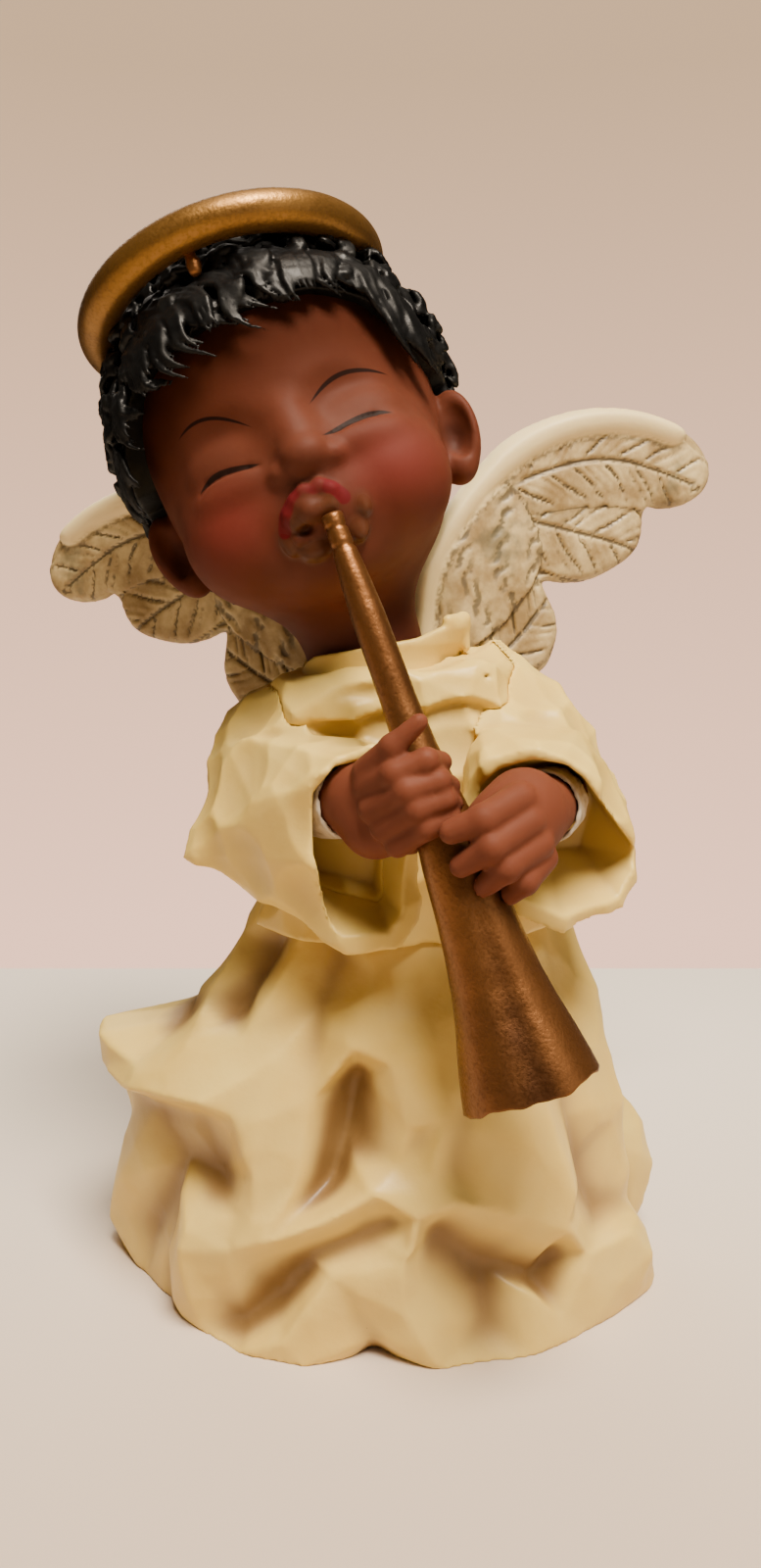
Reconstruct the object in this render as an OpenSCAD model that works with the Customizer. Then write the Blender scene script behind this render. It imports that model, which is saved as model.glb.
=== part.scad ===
// Resin angel figurine: a cherub with a long horn on a wide folded skirt.
// Origin: centre of the base's underside. X to the viewer's right, -Y towards the viewer, Z up.

/* [Skirt] */
// Width of the hem on the table
hem_w = 80; // [76:1:84]
// Depth of the hem on the table, front to back
hem_d = 60; // [56:1:64]
// Height of the skirt up to the waist
skirt_h = 54; // [52:1:56]
// Width of the skirt at the waist
waist_w = 38; // [36:1:42]
// Depth of the stiff folds
fold_depth = 2.4; // [0:0.2:3]
// Number of stiff folds round the skirt
fold_count = 9; // [7:1:12]
// Thickness of the felt pad let into the underside
pad_t = 1.6; // [1:0.2:2.4]

/* [Body] */
// Height of the shoulders, where the neck stands
shoulder_z = 88; // [87:0.5:89]
// Width of the upper robe at the chest
robe_w = 34; // [33:1:36]
// Depth of the upper robe at the chest
robe_d = 30; // [29:1:31]
// Wall of the upper robe above its thick core gap
robe_gap = 0.2; // [0.1:0.1:0.4]
// Radius of the torso at the waist
torso_waist_r = 12.5; // [11:0.5:13]
// Radius of the torso at the shoulders
torso_top_r = 9.4; // [9:0.2:10]

/* [Sleeves] */
// Wall of the bell sleeves
sleeve_wall = 1.2; // [1:0.1:1.6]
// Radius of each wrist
wrist_r = 4.2; // [3.8:0.1:4.6]
// Wall of the inner cuffs
cuff_wall = 0.7; // [0.5:0.1:0.9]

/* [Head] */
// Width of the face
face_w = 42; // [40:0.5:43]
// Height of the head without its hair
face_h = 52; // [50:0.5:53]
// Thickness of the hair at the sides
hair_t = 3.2; // [2.6:0.2:3.6]
// Tilt of the head towards its right shoulder
head_tilt = 22.5; // [18:0.5:26]
// Backward lean of the head
head_lean = 12; // [8:1:16]
// Turn of the face towards its right
head_turn = 4.5; // [0:0.5:8]
// Radius of the neck
neck_r = 8; // [7.6:0.1:8.3]

/* [Halo] */
// Radius of the halo's centreline
halo_r = 19; // [18.5:0.1:19.5]
// Thickness of the halo
halo_t = 5.2; // [4.6:0.2:5.6]

/* [Horn] */
// Diameter at the mouthpiece
horn_mouth_d = 3.2; // [2.8:0.1:3.6]
// Diameter across the bell
horn_bell_d = 16.6; // [15:0.2:18]
// Depth of the hollow in the bell
bell_depth = 16; // [12:1:20]

/* [Wings] */
// Thickness of the wings
wing_t = 3; // [2.4:0.2:3.6]
// Backward sweep of each wing
wing_sweep = 18; // [14:1:20]
// Roll of the pair of wings
wing_roll = 9; // [6:1:10]
// Turn of the pair of wings towards its right
wing_turn = 3; // [0:1:8]

/* [Hidden] */
$fn = 48;

cream = [0.94, 0.90, 0.70];
tan_cream = [0.84, 0.76, 0.56];
skin = [0.55, 0.30, 0.22];
gilt = [0.72, 0.52, 0.20];

glue_gap = 0.15;
body_x = 2;
body_steps = 40;

// Dowels: [diameter, length]
waist_pin = [8, 18];
neck_pin = [5, 16];
wing_pin = [2.4, 6.5];
wing_pin_y = 8.5;

// Places of the head, halo and horn
head_at = [-12, 3, 120.5];
halo_at = [-20.2, 5, 139];
halo_roll = 20;
halo_lean = 16;
neck_low = [-1.5, 1, shoulder_z + glue_gap];
neck_high = [-7, 3, 108];
horn_mouth_at = [-5.9, -21, 109.3];
horn_bell_at = [18.6, -36, 42.9];
horn_len = norm(horn_bell_at - horn_mouth_at);
horn_dir = (horn_bell_at - horn_mouth_at) / horn_len;

// Angles that turn +Z onto a direction
function pitch_of(v) = acos(v[2] / norm(v));
function heading_of(v) = atan2(v[1], v[0]);

// One ring of points about a centre, from two half-axes
function ring(c, u, v, n = body_steps) =
    [for (i = [0 : n - 1]) c + cos(360 * i / n) * u + sin(360 * i / n) * v];

// Closed skin over a list of rings; a torus when wrap is true, else capped at both ends
module loft(rings, wrap = false) {
    n = len(rings[0]);
    m = len(rings);
    last = wrap ? m - 1 : m - 2;
    sides = [for (j = [0 : last], i = [0 : n - 1])
        [j * n + i, ((j + 1) % m) * n + i, ((j + 1) % m) * n + (i + 1) % n, j * n + (i + 1) % n]];
    caps = wrap ? [] : [[for (i = [0 : n - 1]) i], [for (i = [n - 1 : -1 : 0]) (m - 1) * n + i]];
    polyhedron([for (r = rings, p = r) p], concat(sides, caps));
}

// Round pin or bore between two points
module rod(a, b, d) {
    v = b - a;
    translate(a)
        rotate([0, pitch_of(v), heading_of(v)])
            cylinder(h = norm(v), d = d);
}

// ---- Skirt and what it stands on ----

// Half-width of the skirt at a height given as a share of its own
function skirt_half(s) =
    s < 0.65
        ? hem_w / 2 - 0.16 * hem_w / 2 * s / 0.65
        : waist_w / 2 + (0.84 * hem_w / 2 - waist_w / 2) * pow((1 - s) / 0.35, 0.8);

// Folds swell towards the middle height and fade at the waist
function fold(a, s) = fold_depth * sin(180 * min(1, s + 0.25)) * cos(fold_count * a + 60 * s);

function skirt_ring(z) = let (s = z / skirt_h, w = skirt_half(s), deep = hem_d / hem_w)
    [for (i = [0 : body_steps - 1]) let (a = 360 * i / body_steps, r = w + fold(a, s) - 0.5 * fold_depth)
        [r * cos(a) + 3 * s, r * deep * sin(a), z]];

module skirt() {
    color(cream)
        difference() {
            loft([for (k = [0 : 12]) skirt_ring(skirt_h * k / 12)]);
            translate([0, 0, -1])
                cylinder(h = pad_t + 1 + glue_gap, d = hem_d - 14);
            translate([body_x, 0, skirt_h - waist_pin[1] / 2])
                cylinder(h = waist_pin[1], d = waist_pin[0]);
        }
}

module base_pad() {
    color("darkgreen")
        cylinder(h = pad_t, d = hem_d - 15);
}

// ---- Body core ----

module torso() {
    color(tan_cream)
        difference() {
            translate([body_x, 0, 0])
                rotate_extrude()
                    polygon([[0, skirt_h], [torso_waist_r, skirt_h], [torso_waist_r, skirt_h + 16],
                             [torso_top_r, shoulder_z], [0, shoulder_z]]);
            translate([body_x, 0, skirt_h - 1])
                cylinder(h = waist_pin[1] / 2 + 1, d = waist_pin[0]);
            translate([neck_low[0], neck_low[1], shoulder_z - neck_pin[1] / 2])
                cylinder(h = neck_pin[1], d = neck_pin[0]);
            wing_pegs_placed(glue_gap);
        }
}

module waist_dowel() {
    color("tan")
        translate([body_x, 0, skirt_h - waist_pin[1] / 2])
            cylinder(h = waist_pin[1] - glue_gap, d = waist_pin[0] - glue_gap);
}

module neck_dowel() {
    color("tan")
        translate([neck_low[0], neck_low[1], shoulder_z - neck_pin[1] / 2])
            cylinder(h = neck_pin[1] - glue_gap, d = neck_pin[0] - glue_gap);
}

// ---- Upper robe ----

// Rings of the robe's outside: hem, chest, shoulders, neck
function robe_ring(x, z, w, d) = ring([x, 0, z], [w / 2, 0, 0], [0, d / 2, 0]);

robe_outside = [
    robe_ring(body_x + 2, skirt_h + glue_gap, robe_w + 8, robe_d + 4),
    robe_ring(body_x + 1, skirt_h + 14, robe_w + 1, robe_d),
    robe_ring(body_x, skirt_h + 24, robe_w, robe_d - 2),
    robe_ring(body_x, shoulder_z - 4, robe_w - 3, robe_d - 4),
    robe_ring(body_x, shoulder_z, robe_w - 9, robe_d - 7)
];
robe_core_r = torso_waist_r + robe_gap;
robe_neck_r = torso_top_r + robe_gap;

module robe_envelope(grow = 0) {
    loft([for (r = robe_outside) [for (p = r) p + grow * [p[0] - body_x, p[1], 0] / norm([p[0] - body_x, p[1]])]]);
}

module robe_top() {
    color(cream)
        difference() {
            robe_envelope();
            translate([body_x, 0, 0])
                rotate_extrude()
                    polygon([[0, skirt_h - 1], [robe_core_r, skirt_h - 1], [robe_core_r, skirt_h + 16 + robe_gap],
                             [robe_neck_r, shoulder_z + 1], [0, shoulder_z + 1]]);
            wing_pegs_placed(glue_gap);
        }
}

collar_r = 11.4;
collar_wall = 1.4;
collar_h = 7;

module collar() {
    color(cream)
        translate([0, 0.5, shoulder_z + glue_gap])
            rotate_extrude()
                polygon([[collar_r - collar_wall, 0], [collar_r, 0], [collar_r + 0.6, collar_h],
                         [collar_r + 0.6 - collar_wall, collar_h]]);
}

// ---- Sleeves: wide tubes from shoulder to a tall mouth, closed at the shoulder end ----

// Stations of the right sleeve: [centre, sideways half-axis, half-height]
right_stations = [
    [[-11, 1, 77], [1, -7, 0], 7.5],
    [[-18, -2, 75], [5, -4, 0], 9],
    [[-20.5, -10, 72], [7, 1, 0], 10],
    [[-14.5, -18.5, 70.5], [5, 4.5, 0], 11],
    [[-4, -24, 69.7], [3.6, 5.6, 0], 12]
];
left_stations = [
    [[13, 1, 79], [1, 7, 0], 7],
    [[22, -2, 77], [5, 5, 0], 9],
    [[26, -9, 74], [7, 1, 0], 10],
    [[26, -16, 72], [8, -1, 0], 11],
    [[23.8, -22.5, 70.8], [10, -2.5, 0], 11]
];

function station_ring(s, inset) =
    ring(s[0], s[1] * (1 - inset / norm(s[1])), [0, 0, s[2] - inset], 28);

module sleeve(stations) {
    last = len(stations) - 1;
    outside = [for (s = stations) station_ring(s, 0)];
    inside = [for (k = [last : -1 : 2]) station_ring(stations[k], sleeve_wall)];
    color(cream)
        difference() {
            loft(concat(outside, inside));
            robe_envelope(glue_gap);
        }
}

module sleeve_right() sleeve(right_stations);
module sleeve_left() sleeve(left_stations);

// ---- Hands round the horn ----

right_wrist = [[-13.5, -17, 72.5], [-3, -24.5, 76]];
left_wrist = [[26, -14, 73.5], [19.5, -25, 74]];

module cuff(wrist) {
    v = wrist[1] - wrist[0];
    middle = wrist[0] + 0.35 * v;
    color("ivory")
        difference() {
            rod(middle, wrist[0] + 0.8 * v, 2 * (wrist_r + cuff_wall));
            rod(wrist[0], wrist[1] + v, 2 * wrist_r + glue_gap);
        }
}

module cuff_right() cuff(right_wrist);
module cuff_left() cuff(left_wrist);

// Places a child in the horn's own frame, its +Z running down the horn
module on_horn() {
    translate(horn_mouth_at)
        rotate([0, pitch_of(horn_dir), heading_of(horn_dir)])
            children();
}

// Radius of the horn at a distance from its mouth
function horn_r(t) = let (s = t / horn_len)
    horn_mouth_d / 2 + 1.7 * min(1, s / 0.5)
        + (horn_bell_d / 2 - horn_mouth_d / 2 - 1.7) * pow(max(0, (s - 0.42) / 0.58), 1.5);

finger_t = 3.8;
palm_r = 6.2;

// Block of curled fingers round the horn: a span along the horn, a start angle and a sweep
module curl(from, to, start, sweep, grow = 0) {
    low = horn_r(from) + glue_gap;
    on_horn()
        rotate([0, 0, start])
            rotate_extrude(angle = sweep)
                polygon([[low, from - grow], [low + finger_t + grow, from - grow],
                         [low + finger_t + grow, to + grow], [low, to + grow]]);
}

// Clearance for the horn through a fist
module horn_bore() {
    on_horn()
        rotate_extrude()
            polygon(concat([[0, 0]], [for (k = [0 : 8]) let (t = 60 * k / 8) [horn_r(t) + glue_gap, t]], [[0, 60]]));
}

module right_curl(grow = 0) {
    curl(26.5, 39, 200, 150, grow);
}

module hand_right() {
    color(skin)
        difference() {
            union() {
                on_horn()
                    translate([palm_r + 1, 0, 27.2])
                        cylinder(h = 11, r = palm_r);
                rod(right_wrist[0], right_wrist[1], 2 * wrist_r);
                right_curl();
            }
            horn_bore();
        }
}

module hand_left() {
    color(skin)
        difference() {
            union() {
                translate([16.5, -29.5, 73])
                    sphere(r = 7, $fn = 96);
                rod(left_wrist[0], left_wrist[1], 2 * wrist_r);
                curl(40, 50, 180, 140);
            }
            horn_bore();
            right_curl(glue_gap);
        }
}

// ---- Horn ----

module horn() {
    outer = [for (k = [0 : 28]) let (t = horn_len * k / 28) [horn_r(t), t]];
    inner = [for (k = [0 : 8]) let (t = horn_len - bell_depth * k / 8)
        [max(0, (horn_r(t) - 0.9) * (1 - pow(k / 8, 3))), t]];
    color(gilt)
        on_horn()
            rotate_extrude()
                polygon(concat([[0, 0]], outer, inner));
}

// ---- Head ----

module on_head() {
    translate(head_at)
        rotate([0, 0, -head_turn])
            rotate([0, -head_tilt, 0])
                rotate([-head_lean, 0, 0])
                    children();
}

// Egg-shaped solid of revolution from its half-width and half-height
module egg(half_w, half_h) {
    rotate_extrude()
        polygon([for (k = [0 : 24]) let (a = -90 + 180 * k / 24) [half_w * cos(a), half_h * sin(a)]]);
}

ear_at = [20.4, 0, -8];
ear_size = 13;

// Both ears as thick discs
module ears(grow = 0) {
    for (side = [-1, 1])
        translate([side * ear_at[0], ear_at[1], ear_at[2]])
            rotate([90, 0, side * 25])
                cylinder(h = 4 + grow, d = 0.62 * ear_size + grow, center = true);
}

module head_solid(grow = 0) {
    on_head() {
        egg(face_w / 2 + grow, face_h / 2 + grow);
        ears(2 * grow);
    }
}

module head() {
    color(skin)
        difference() {
            union() {
                head_solid();
                rod(neck_low, neck_high, 2 * neck_r);
            }
            translate([0, 0, -20 + shoulder_z + glue_gap])
                cube([60, 60, 40], center = true);
            translate([neck_low[0], neck_low[1], shoulder_z - neck_pin[1] / 2])
                cylinder(h = neck_pin[1], d = neck_pin[0]);
            horn_tip_seat();
        }
}

// Seat of the horn's mouthpiece between the lips
module horn_tip_seat() {
    on_horn()
        translate([0, 0, -4])
            cylinder(h = 12, d = horn_mouth_d + 1);
}

module hair() {
    color([0.05, 0.05, 0.05])
        difference() {
            on_head()
                difference() {
                    egg(face_w / 2 + hair_t, face_h / 2 + hair_t - 0.6);
                    translate([0, -34, -14])
                        rotate([-18, 0, 0])
                            cube([80, 60, 44], center = true);
                    translate([0, 0, -35])
                        cube([80, 80, 40], center = true);
                }
            head_solid(glue_gap);
            halo_ring(glue_gap);
            halo_pins_placed(glue_gap);
        }
}

// ---- Halo ----

module on_halo() {
    translate(halo_at)
        rotate([0, -halo_roll, 0])
            rotate([-halo_lean, 0, 0])
                children();
}

module halo_ring(grow = 0) {
    on_halo()
        rotate_extrude()
            translate([halo_r, 0])
                circle(r = halo_t / 2 + grow, $fn = 32);
}

module halo_pins_placed(grow = 0) {
    on_halo()
        for (a = [30, 150, 262])
            rotate([0, 0, a])
                translate([halo_r - 1.6, 0, -4.5])
                    cylinder(h = 3, d = 1.6 + grow, $fn = 24);
}

module halo() {
    color(gilt)
        difference() {
            halo_ring();
            halo_pins_placed(glue_gap);
        }
}

module halo_pins() {
    color(gilt)
        halo_pins_placed();
}

// ---- Wings ----

// Outline of one wing in its own plane, from its root; x runs out to the tip
wing_outline = [
    [-7, -18], [-8, -10], [-4.6, 2.4], [-1.7, 7], [1.3, 10.6], [6.4, 15.2], [12.5, 20.1], [20.2, 22.5],
    [27.7, 23], [35.1, 21.5], [42.4, 17.8], [45.6, 13.3], [44.6, 8.9], [41.1, 7], [36.7, 6.6], [34.4, 5],
    [32.6, 1.8], [30.3, -0.2], [24.2, -2.4], [17, -7.8], [15.5, -12.4], [12, -16.5], [6, -17.5]
];
wing_root = [9, 16, 99];
wing_middle_x = -1;

module on_wings() {
    translate([wing_middle_x, 0, wing_root[2]])
        rotate([0, -wing_roll, -wing_turn])
            translate([-wing_middle_x, 0, -wing_root[2]])
                children();
}

module wing() {
    translate(wing_root)
        rotate([0, 0, wing_sweep])
            rotate([90, 0, 0])
                linear_extrude(height = wing_t)
                    polygon(wing_outline);
}

module wing_left() {
    color(tan_cream)
        difference() {
            on_wings() wing();
            wing_cutters();
        }
}

module wing_right() {
    color(tan_cream)
        difference() {
            on_wings() translate([2 * wing_middle_x, 0, 0]) mirror([1, 0, 0]) wing();
            wing_cutters();
        }
}

// What each wing keeps clear of
module wing_cutters() {
    robe_envelope(glue_gap);
    wing_pegs_placed(glue_gap);
    on_head()
        egg(face_w / 2 + hair_t + glue_gap, face_h / 2 + hair_t);
    translate([0, 0.5, shoulder_z])
        cylinder(h = collar_h + 1, r = collar_r + 1);
}

module wing_pegs_placed(grow = 0) {
    for (side = [-1, 1], z = [82, 86])
        translate([wing_middle_x + side * 7, wing_pin_y + wing_pin[1], z])
            rotate([90, 0, 0])
                cylinder(h = wing_pin[1], d = wing_pin[0] + grow);
}

module wing_pegs() {
    color("tan")
        wing_pegs_placed();
}

skirt();
base_pad();
torso();
robe_top();
collar();
sleeve_right();
sleeve_left();
cuff_right();
cuff_left();
hand_right();
hand_left();
horn();
head();
hair();
halo();
halo_pins();
wing_right();
wing_left();
wing_pegs();
neck_dowel();
waist_dowel();
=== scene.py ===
import math

import bmesh
import bpy
import numpy as np
from mathutils import Matrix, Vector
from mathutils.geometry import delaunay_2d_cdt


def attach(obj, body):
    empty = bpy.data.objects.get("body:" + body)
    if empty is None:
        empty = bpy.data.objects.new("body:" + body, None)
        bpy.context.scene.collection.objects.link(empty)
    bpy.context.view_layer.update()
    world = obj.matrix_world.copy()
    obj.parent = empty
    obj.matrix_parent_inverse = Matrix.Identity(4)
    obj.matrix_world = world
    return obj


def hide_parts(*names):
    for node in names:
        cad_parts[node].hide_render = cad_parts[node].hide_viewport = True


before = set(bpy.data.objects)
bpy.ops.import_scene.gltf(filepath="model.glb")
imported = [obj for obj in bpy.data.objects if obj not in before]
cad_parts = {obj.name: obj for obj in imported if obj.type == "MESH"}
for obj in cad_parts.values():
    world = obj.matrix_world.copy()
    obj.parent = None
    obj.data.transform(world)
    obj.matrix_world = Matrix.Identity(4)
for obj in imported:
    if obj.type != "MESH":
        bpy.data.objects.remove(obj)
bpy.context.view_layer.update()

MM = 0.001
RNG = np.random.default_rng(7)


# ---------------------------------------------------------------- clay

def smooth_min(a, b, blend):
    """The smaller of two distances, with a fillet of about the blend's size."""
    if blend <= 0:
        return np.minimum(a, b)
    h = np.maximum(blend - np.abs(a - b), 0) / blend
    return np.minimum(a, b) - h * h * blend / 4


def unit(v):
    """The vector at length 1."""
    v = np.asarray(v, float)
    return v / np.linalg.norm(v)


def axes_from(forward, up=(0, 0, 1)):
    """Three rows: side, forward, up, square to each other."""
    f = unit(forward)
    s = unit(np.cross(f, up))
    return np.array([s, f, np.cross(s, f)])


def egg(centre, radii, turn=None):
    """An ellipsoid; turn's rows are its own axes."""
    c = np.asarray(centre, float)
    r = np.ones(3) * np.asarray(radii, float)

    def dist(x, y, z):
        p = (x - c[0], y - c[1], z - c[2])
        if turn is not None:
            p = [t[0] * p[0] + t[1] * p[1] + t[2] * p[2] for t in turn]
        k0 = np.sqrt((p[0] / r[0]) ** 2 + (p[1] / r[1]) ** 2 + (p[2] / r[2]) ** 2)
        k1 = np.sqrt((p[0] / r[0] ** 2) ** 2 + (p[1] / r[1] ** 2) ** 2 + (p[2] / r[2] ** 2) ** 2)
        return k0 * (k0 - 1) / np.maximum(k1, 1e-6)

    return c - r.max(), c + r.max(), dist


def limb(a, b, ra, rb=None):
    """A round-ended rod that may taper."""
    a, b = np.asarray(a, float), np.asarray(b, float)
    rb = ra if rb is None else rb
    ab = b - a
    reach = max(ra, rb)

    def dist(x, y, z):
        px, py, pz = x - a[0], y - a[1], z - a[2]
        t = np.clip((px * ab[0] + py * ab[1] + pz * ab[2]) / ab.dot(ab), 0, 1)
        away = np.sqrt((px - t * ab[0]) ** 2 + (py - t * ab[1]) ** 2 + (pz - t * ab[2]) ** 2)
        return away - (ra + t * (rb - ra))

    return np.minimum(a, b) - reach, np.maximum(a, b) + reach, dist


def slab(centre, normal, reach):
    """The half-space behind a plane, within reach of its centre."""
    c, n = np.asarray(centre, float), unit(normal)

    def dist(x, y, z):
        return (x - c[0]) * n[0] + (y - c[1]) * n[1] + (z - c[2]) * n[2]

    return c - reach, c + reach, dist


# How far a shape's effect on the clay is worked out beyond its own box, and the distance of empty clay, mm.
ADD_MARGIN = 2
CUT_MARGIN = 1
EMPTY = 9.0


class Clay:
    """A block of signed distances in mm, negative inside, that shapes are added to and cut from."""

    def __init__(self, low, high, step):
        self.low = np.array(low, float)
        self.step = step
        size = np.ceil((np.array(high, float) - self.low) / step).astype(int) + 1
        self.field = np.full(size, EMPTY, np.float32)

    def window(self, low, high):
        """The part of the block between two corners, and the x, y and z of its cells."""
        first = np.maximum(np.floor((low - self.low) / self.step).astype(int), 0)
        last = np.minimum(np.ceil((high - self.low) / self.step).astype(int) + 1, self.field.shape)
        rows = [self.low[i] + self.step * np.arange(first[i], max(last[i], first[i])) for i in range(3)]
        x, y, z = np.ix_(*(row.astype(np.float32) for row in rows))
        return tuple(slice(a, max(a, b)) for a, b in zip(first, last)), x, y, z

    def whole(self):
        """The x, y and z of every cell, ready to broadcast."""
        return self.window(self.low, self.low + self.step * np.array(self.field.shape))[1:]

    def add(self, shape, blend=0.0):
        low, high, dist = shape
        margin = blend + ADD_MARGIN
        cut, x, y, z = self.window(low - margin, high + margin)
        if self.field[cut].size:
            self.field[cut] = smooth_min(self.field[cut], dist(x, y, z), blend)

    def cut(self, shape, blend=0.0):
        low, high, dist = shape
        margin = blend + CUT_MARGIN
        cut, x, y, z = self.window(low - margin, high + margin)
        if self.field[cut].size:
            self.field[cut] = -smooth_min(-self.field[cut], dist(x, y, z), blend)

    def copy(self):
        other = Clay.__new__(Clay)
        other.low, other.step, other.field = self.low, self.step, self.field.copy()
        return other

    def mesh(self, strength, rounds=1, one_lump=False):
        """The clay's surface as points and faces, relaxed a little, without loose crumbs if asked."""
        points, faces = surface_nets(self.field, self.low, self.step)
        if one_lump:
            points, faces = largest(points, faces)
        return relax(points, neighbours(faces), rounds, strength), faces


def surface_nets(field, low, step):
    """Quads over a field's zero surface, one point in each cell that it crosses."""
    field = np.where(field == 0, 1e-4, field)
    inside = field < 0
    n = field.shape
    corners = [(i, j, k) for i in (0, 1) for j in (0, 1) for k in (0, 1)]
    count = sum(inside[a:n[0] - 1 + a, b:n[1] - 1 + b, c:n[2] - 1 + c].astype(np.int8)
                for a, b, c in corners)
    mixed = (count > 0) & (count < 8)
    cells = np.argwhere(mixed)
    index = np.full(mixed.shape, -1, np.int32)
    index[mixed] = np.arange(len(cells))
    total = np.zeros((len(cells), 3))
    hits = np.zeros(len(cells))
    for corner in corners:
        near = field[tuple((cells + corner).T)]
        for axis in range(3):
            if corner[axis]:
                continue
            step_out = np.zeros(3, int)
            step_out[axis] = 1
            far = field[tuple((cells + corner + step_out).T)]
            cross = (near < 0) != (far < 0)
            t = near[cross] / (near[cross] - far[cross])
            total[cross] += cells[cross] + np.array(corner) + t[:, None] * step_out
            hits[cross] += 1
    points = low + step * total / hits[:, None]
    faces = []
    for axis in range(3):
        u, v = (axis + 1) % 3, (axis + 2) % 3
        first = [slice(None)] * 3
        second = [slice(None)] * 3
        first[axis], second[axis] = slice(0, n[axis] - 1), slice(1, n[axis])
        edges = np.argwhere(inside[tuple(first)] != inside[tuple(second)])
        low_end = (edges[:, u] > 0) & (edges[:, v] > 0)
        high_end = (edges[:, u] < n[u] - 1) & (edges[:, v] < n[v] - 1)
        edges = edges[low_end & high_end]
        eu, ev = np.zeros(3, int), np.zeros(3, int)
        eu[u], ev[v] = 1, 1
        ring = [index[tuple(e.T)] for e in (edges, edges - eu, edges - eu - ev, edges - ev)]
        quads = np.stack(ring, axis=1)
        outward = inside[tuple(edges.T)]
        quads[~outward] = quads[~outward][:, ::-1]
        faces.append(quads)
    return points, np.concatenate(faces)


def neighbours(faces):
    """Both ends of every face edge, each way round."""
    edges = np.stack([faces.T, np.roll(faces.T, -1, axis=0)], 2).reshape(-1, 2)
    return np.concatenate([edges, edges[:, ::-1]])


def relax(values, edges, rounds, strength=0.5):
    """Averages per-point values with their neighbours."""
    n = len(values)
    links = np.bincount(edges[:, 0], minlength=n)[:, None]
    values = values.reshape(n, -1)
    for _ in range(rounds):
        sums = [np.bincount(edges[:, 0], column[edges[:, 1]], n) for column in values.T]
        total = np.stack(sums, 1)
        values = values + strength * (total / np.maximum(links, 1) - values)
    return values


def normals_of(points, faces):
    """Unit normals at the points of a mesh of quads."""
    corners = points[faces]
    face_n = np.cross(corners[:, 2] - corners[:, 0], corners[:, 3] - corners[:, 1])
    total = np.zeros_like(points)
    for i in range(faces.shape[1]):
        for axis in range(3):
            total[:, axis] += np.bincount(faces[:, i], face_n[:, axis], len(points))
    return total / np.maximum(np.linalg.norm(total, axis=1), 1e-12)[:, None]


def hollowness(points, faces, rounds):
    """How far below its surroundings each point lies, in mm; negative on ridges."""
    away = relax(points, neighbours(faces), rounds) - points
    return (away * normals_of(points, faces)).sum(axis=1)


def largest(points, faces):
    """Keeps only the biggest connected lump of a mesh."""
    label = np.arange(len(points))
    links = neighbours(faces)
    while True:
        low = label.copy()
        np.minimum.at(low, links[:, 0], label[links[:, 1]])
        low = low[low]
        if np.array_equal(low, label):
            break
        label = low
    keep = label == np.bincount(label).argmax()
    fresh = np.cumsum(keep) - 1
    faces = faces[keep[faces[:, 0]]]
    return points[keep], fresh[faces]


def show(name, data):
    """Puts a new object with this data in the scene."""
    made = bpy.data.objects.new(name, data)
    bpy.context.scene.collection.objects.link(made)
    return made


def make_piece(name, points, faces, material, node, marks, place=None):
    """Turns mm points and faces into a Blender object on the root body, standing for a CAD node."""
    mesh = bpy.data.meshes.new(name)
    sides = faces.shape[1]
    mesh.vertices.add(len(points))
    mesh.vertices.foreach_set("co", (np.asarray(points) * MM).ravel())
    mesh.loops.add(faces.size)
    mesh.loops.foreach_set("vertex_index", faces.ravel().astype(np.int32))
    mesh.polygons.add(len(faces))
    mesh.polygons.foreach_set("loop_start", np.arange(0, faces.size, sides, dtype=np.int32))
    mesh.update(calc_edges=True)
    mesh.validate()
    mesh.polygons.foreach_set("use_smooth", np.ones(len(mesh.polygons), bool))
    for key, values in marks.items():
        layer = mesh.attributes.new(key, "FLOAT", "POINT")
        layer.data.foreach_set("value", np.asarray(values, np.float32))
    mesh.materials.append(material)
    piece = show(name, mesh)
    if place is not None:
        piece.matrix_world = place
    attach(piece, "root")
    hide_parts(node)


# ---------------------------------------------------------------- paint

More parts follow.
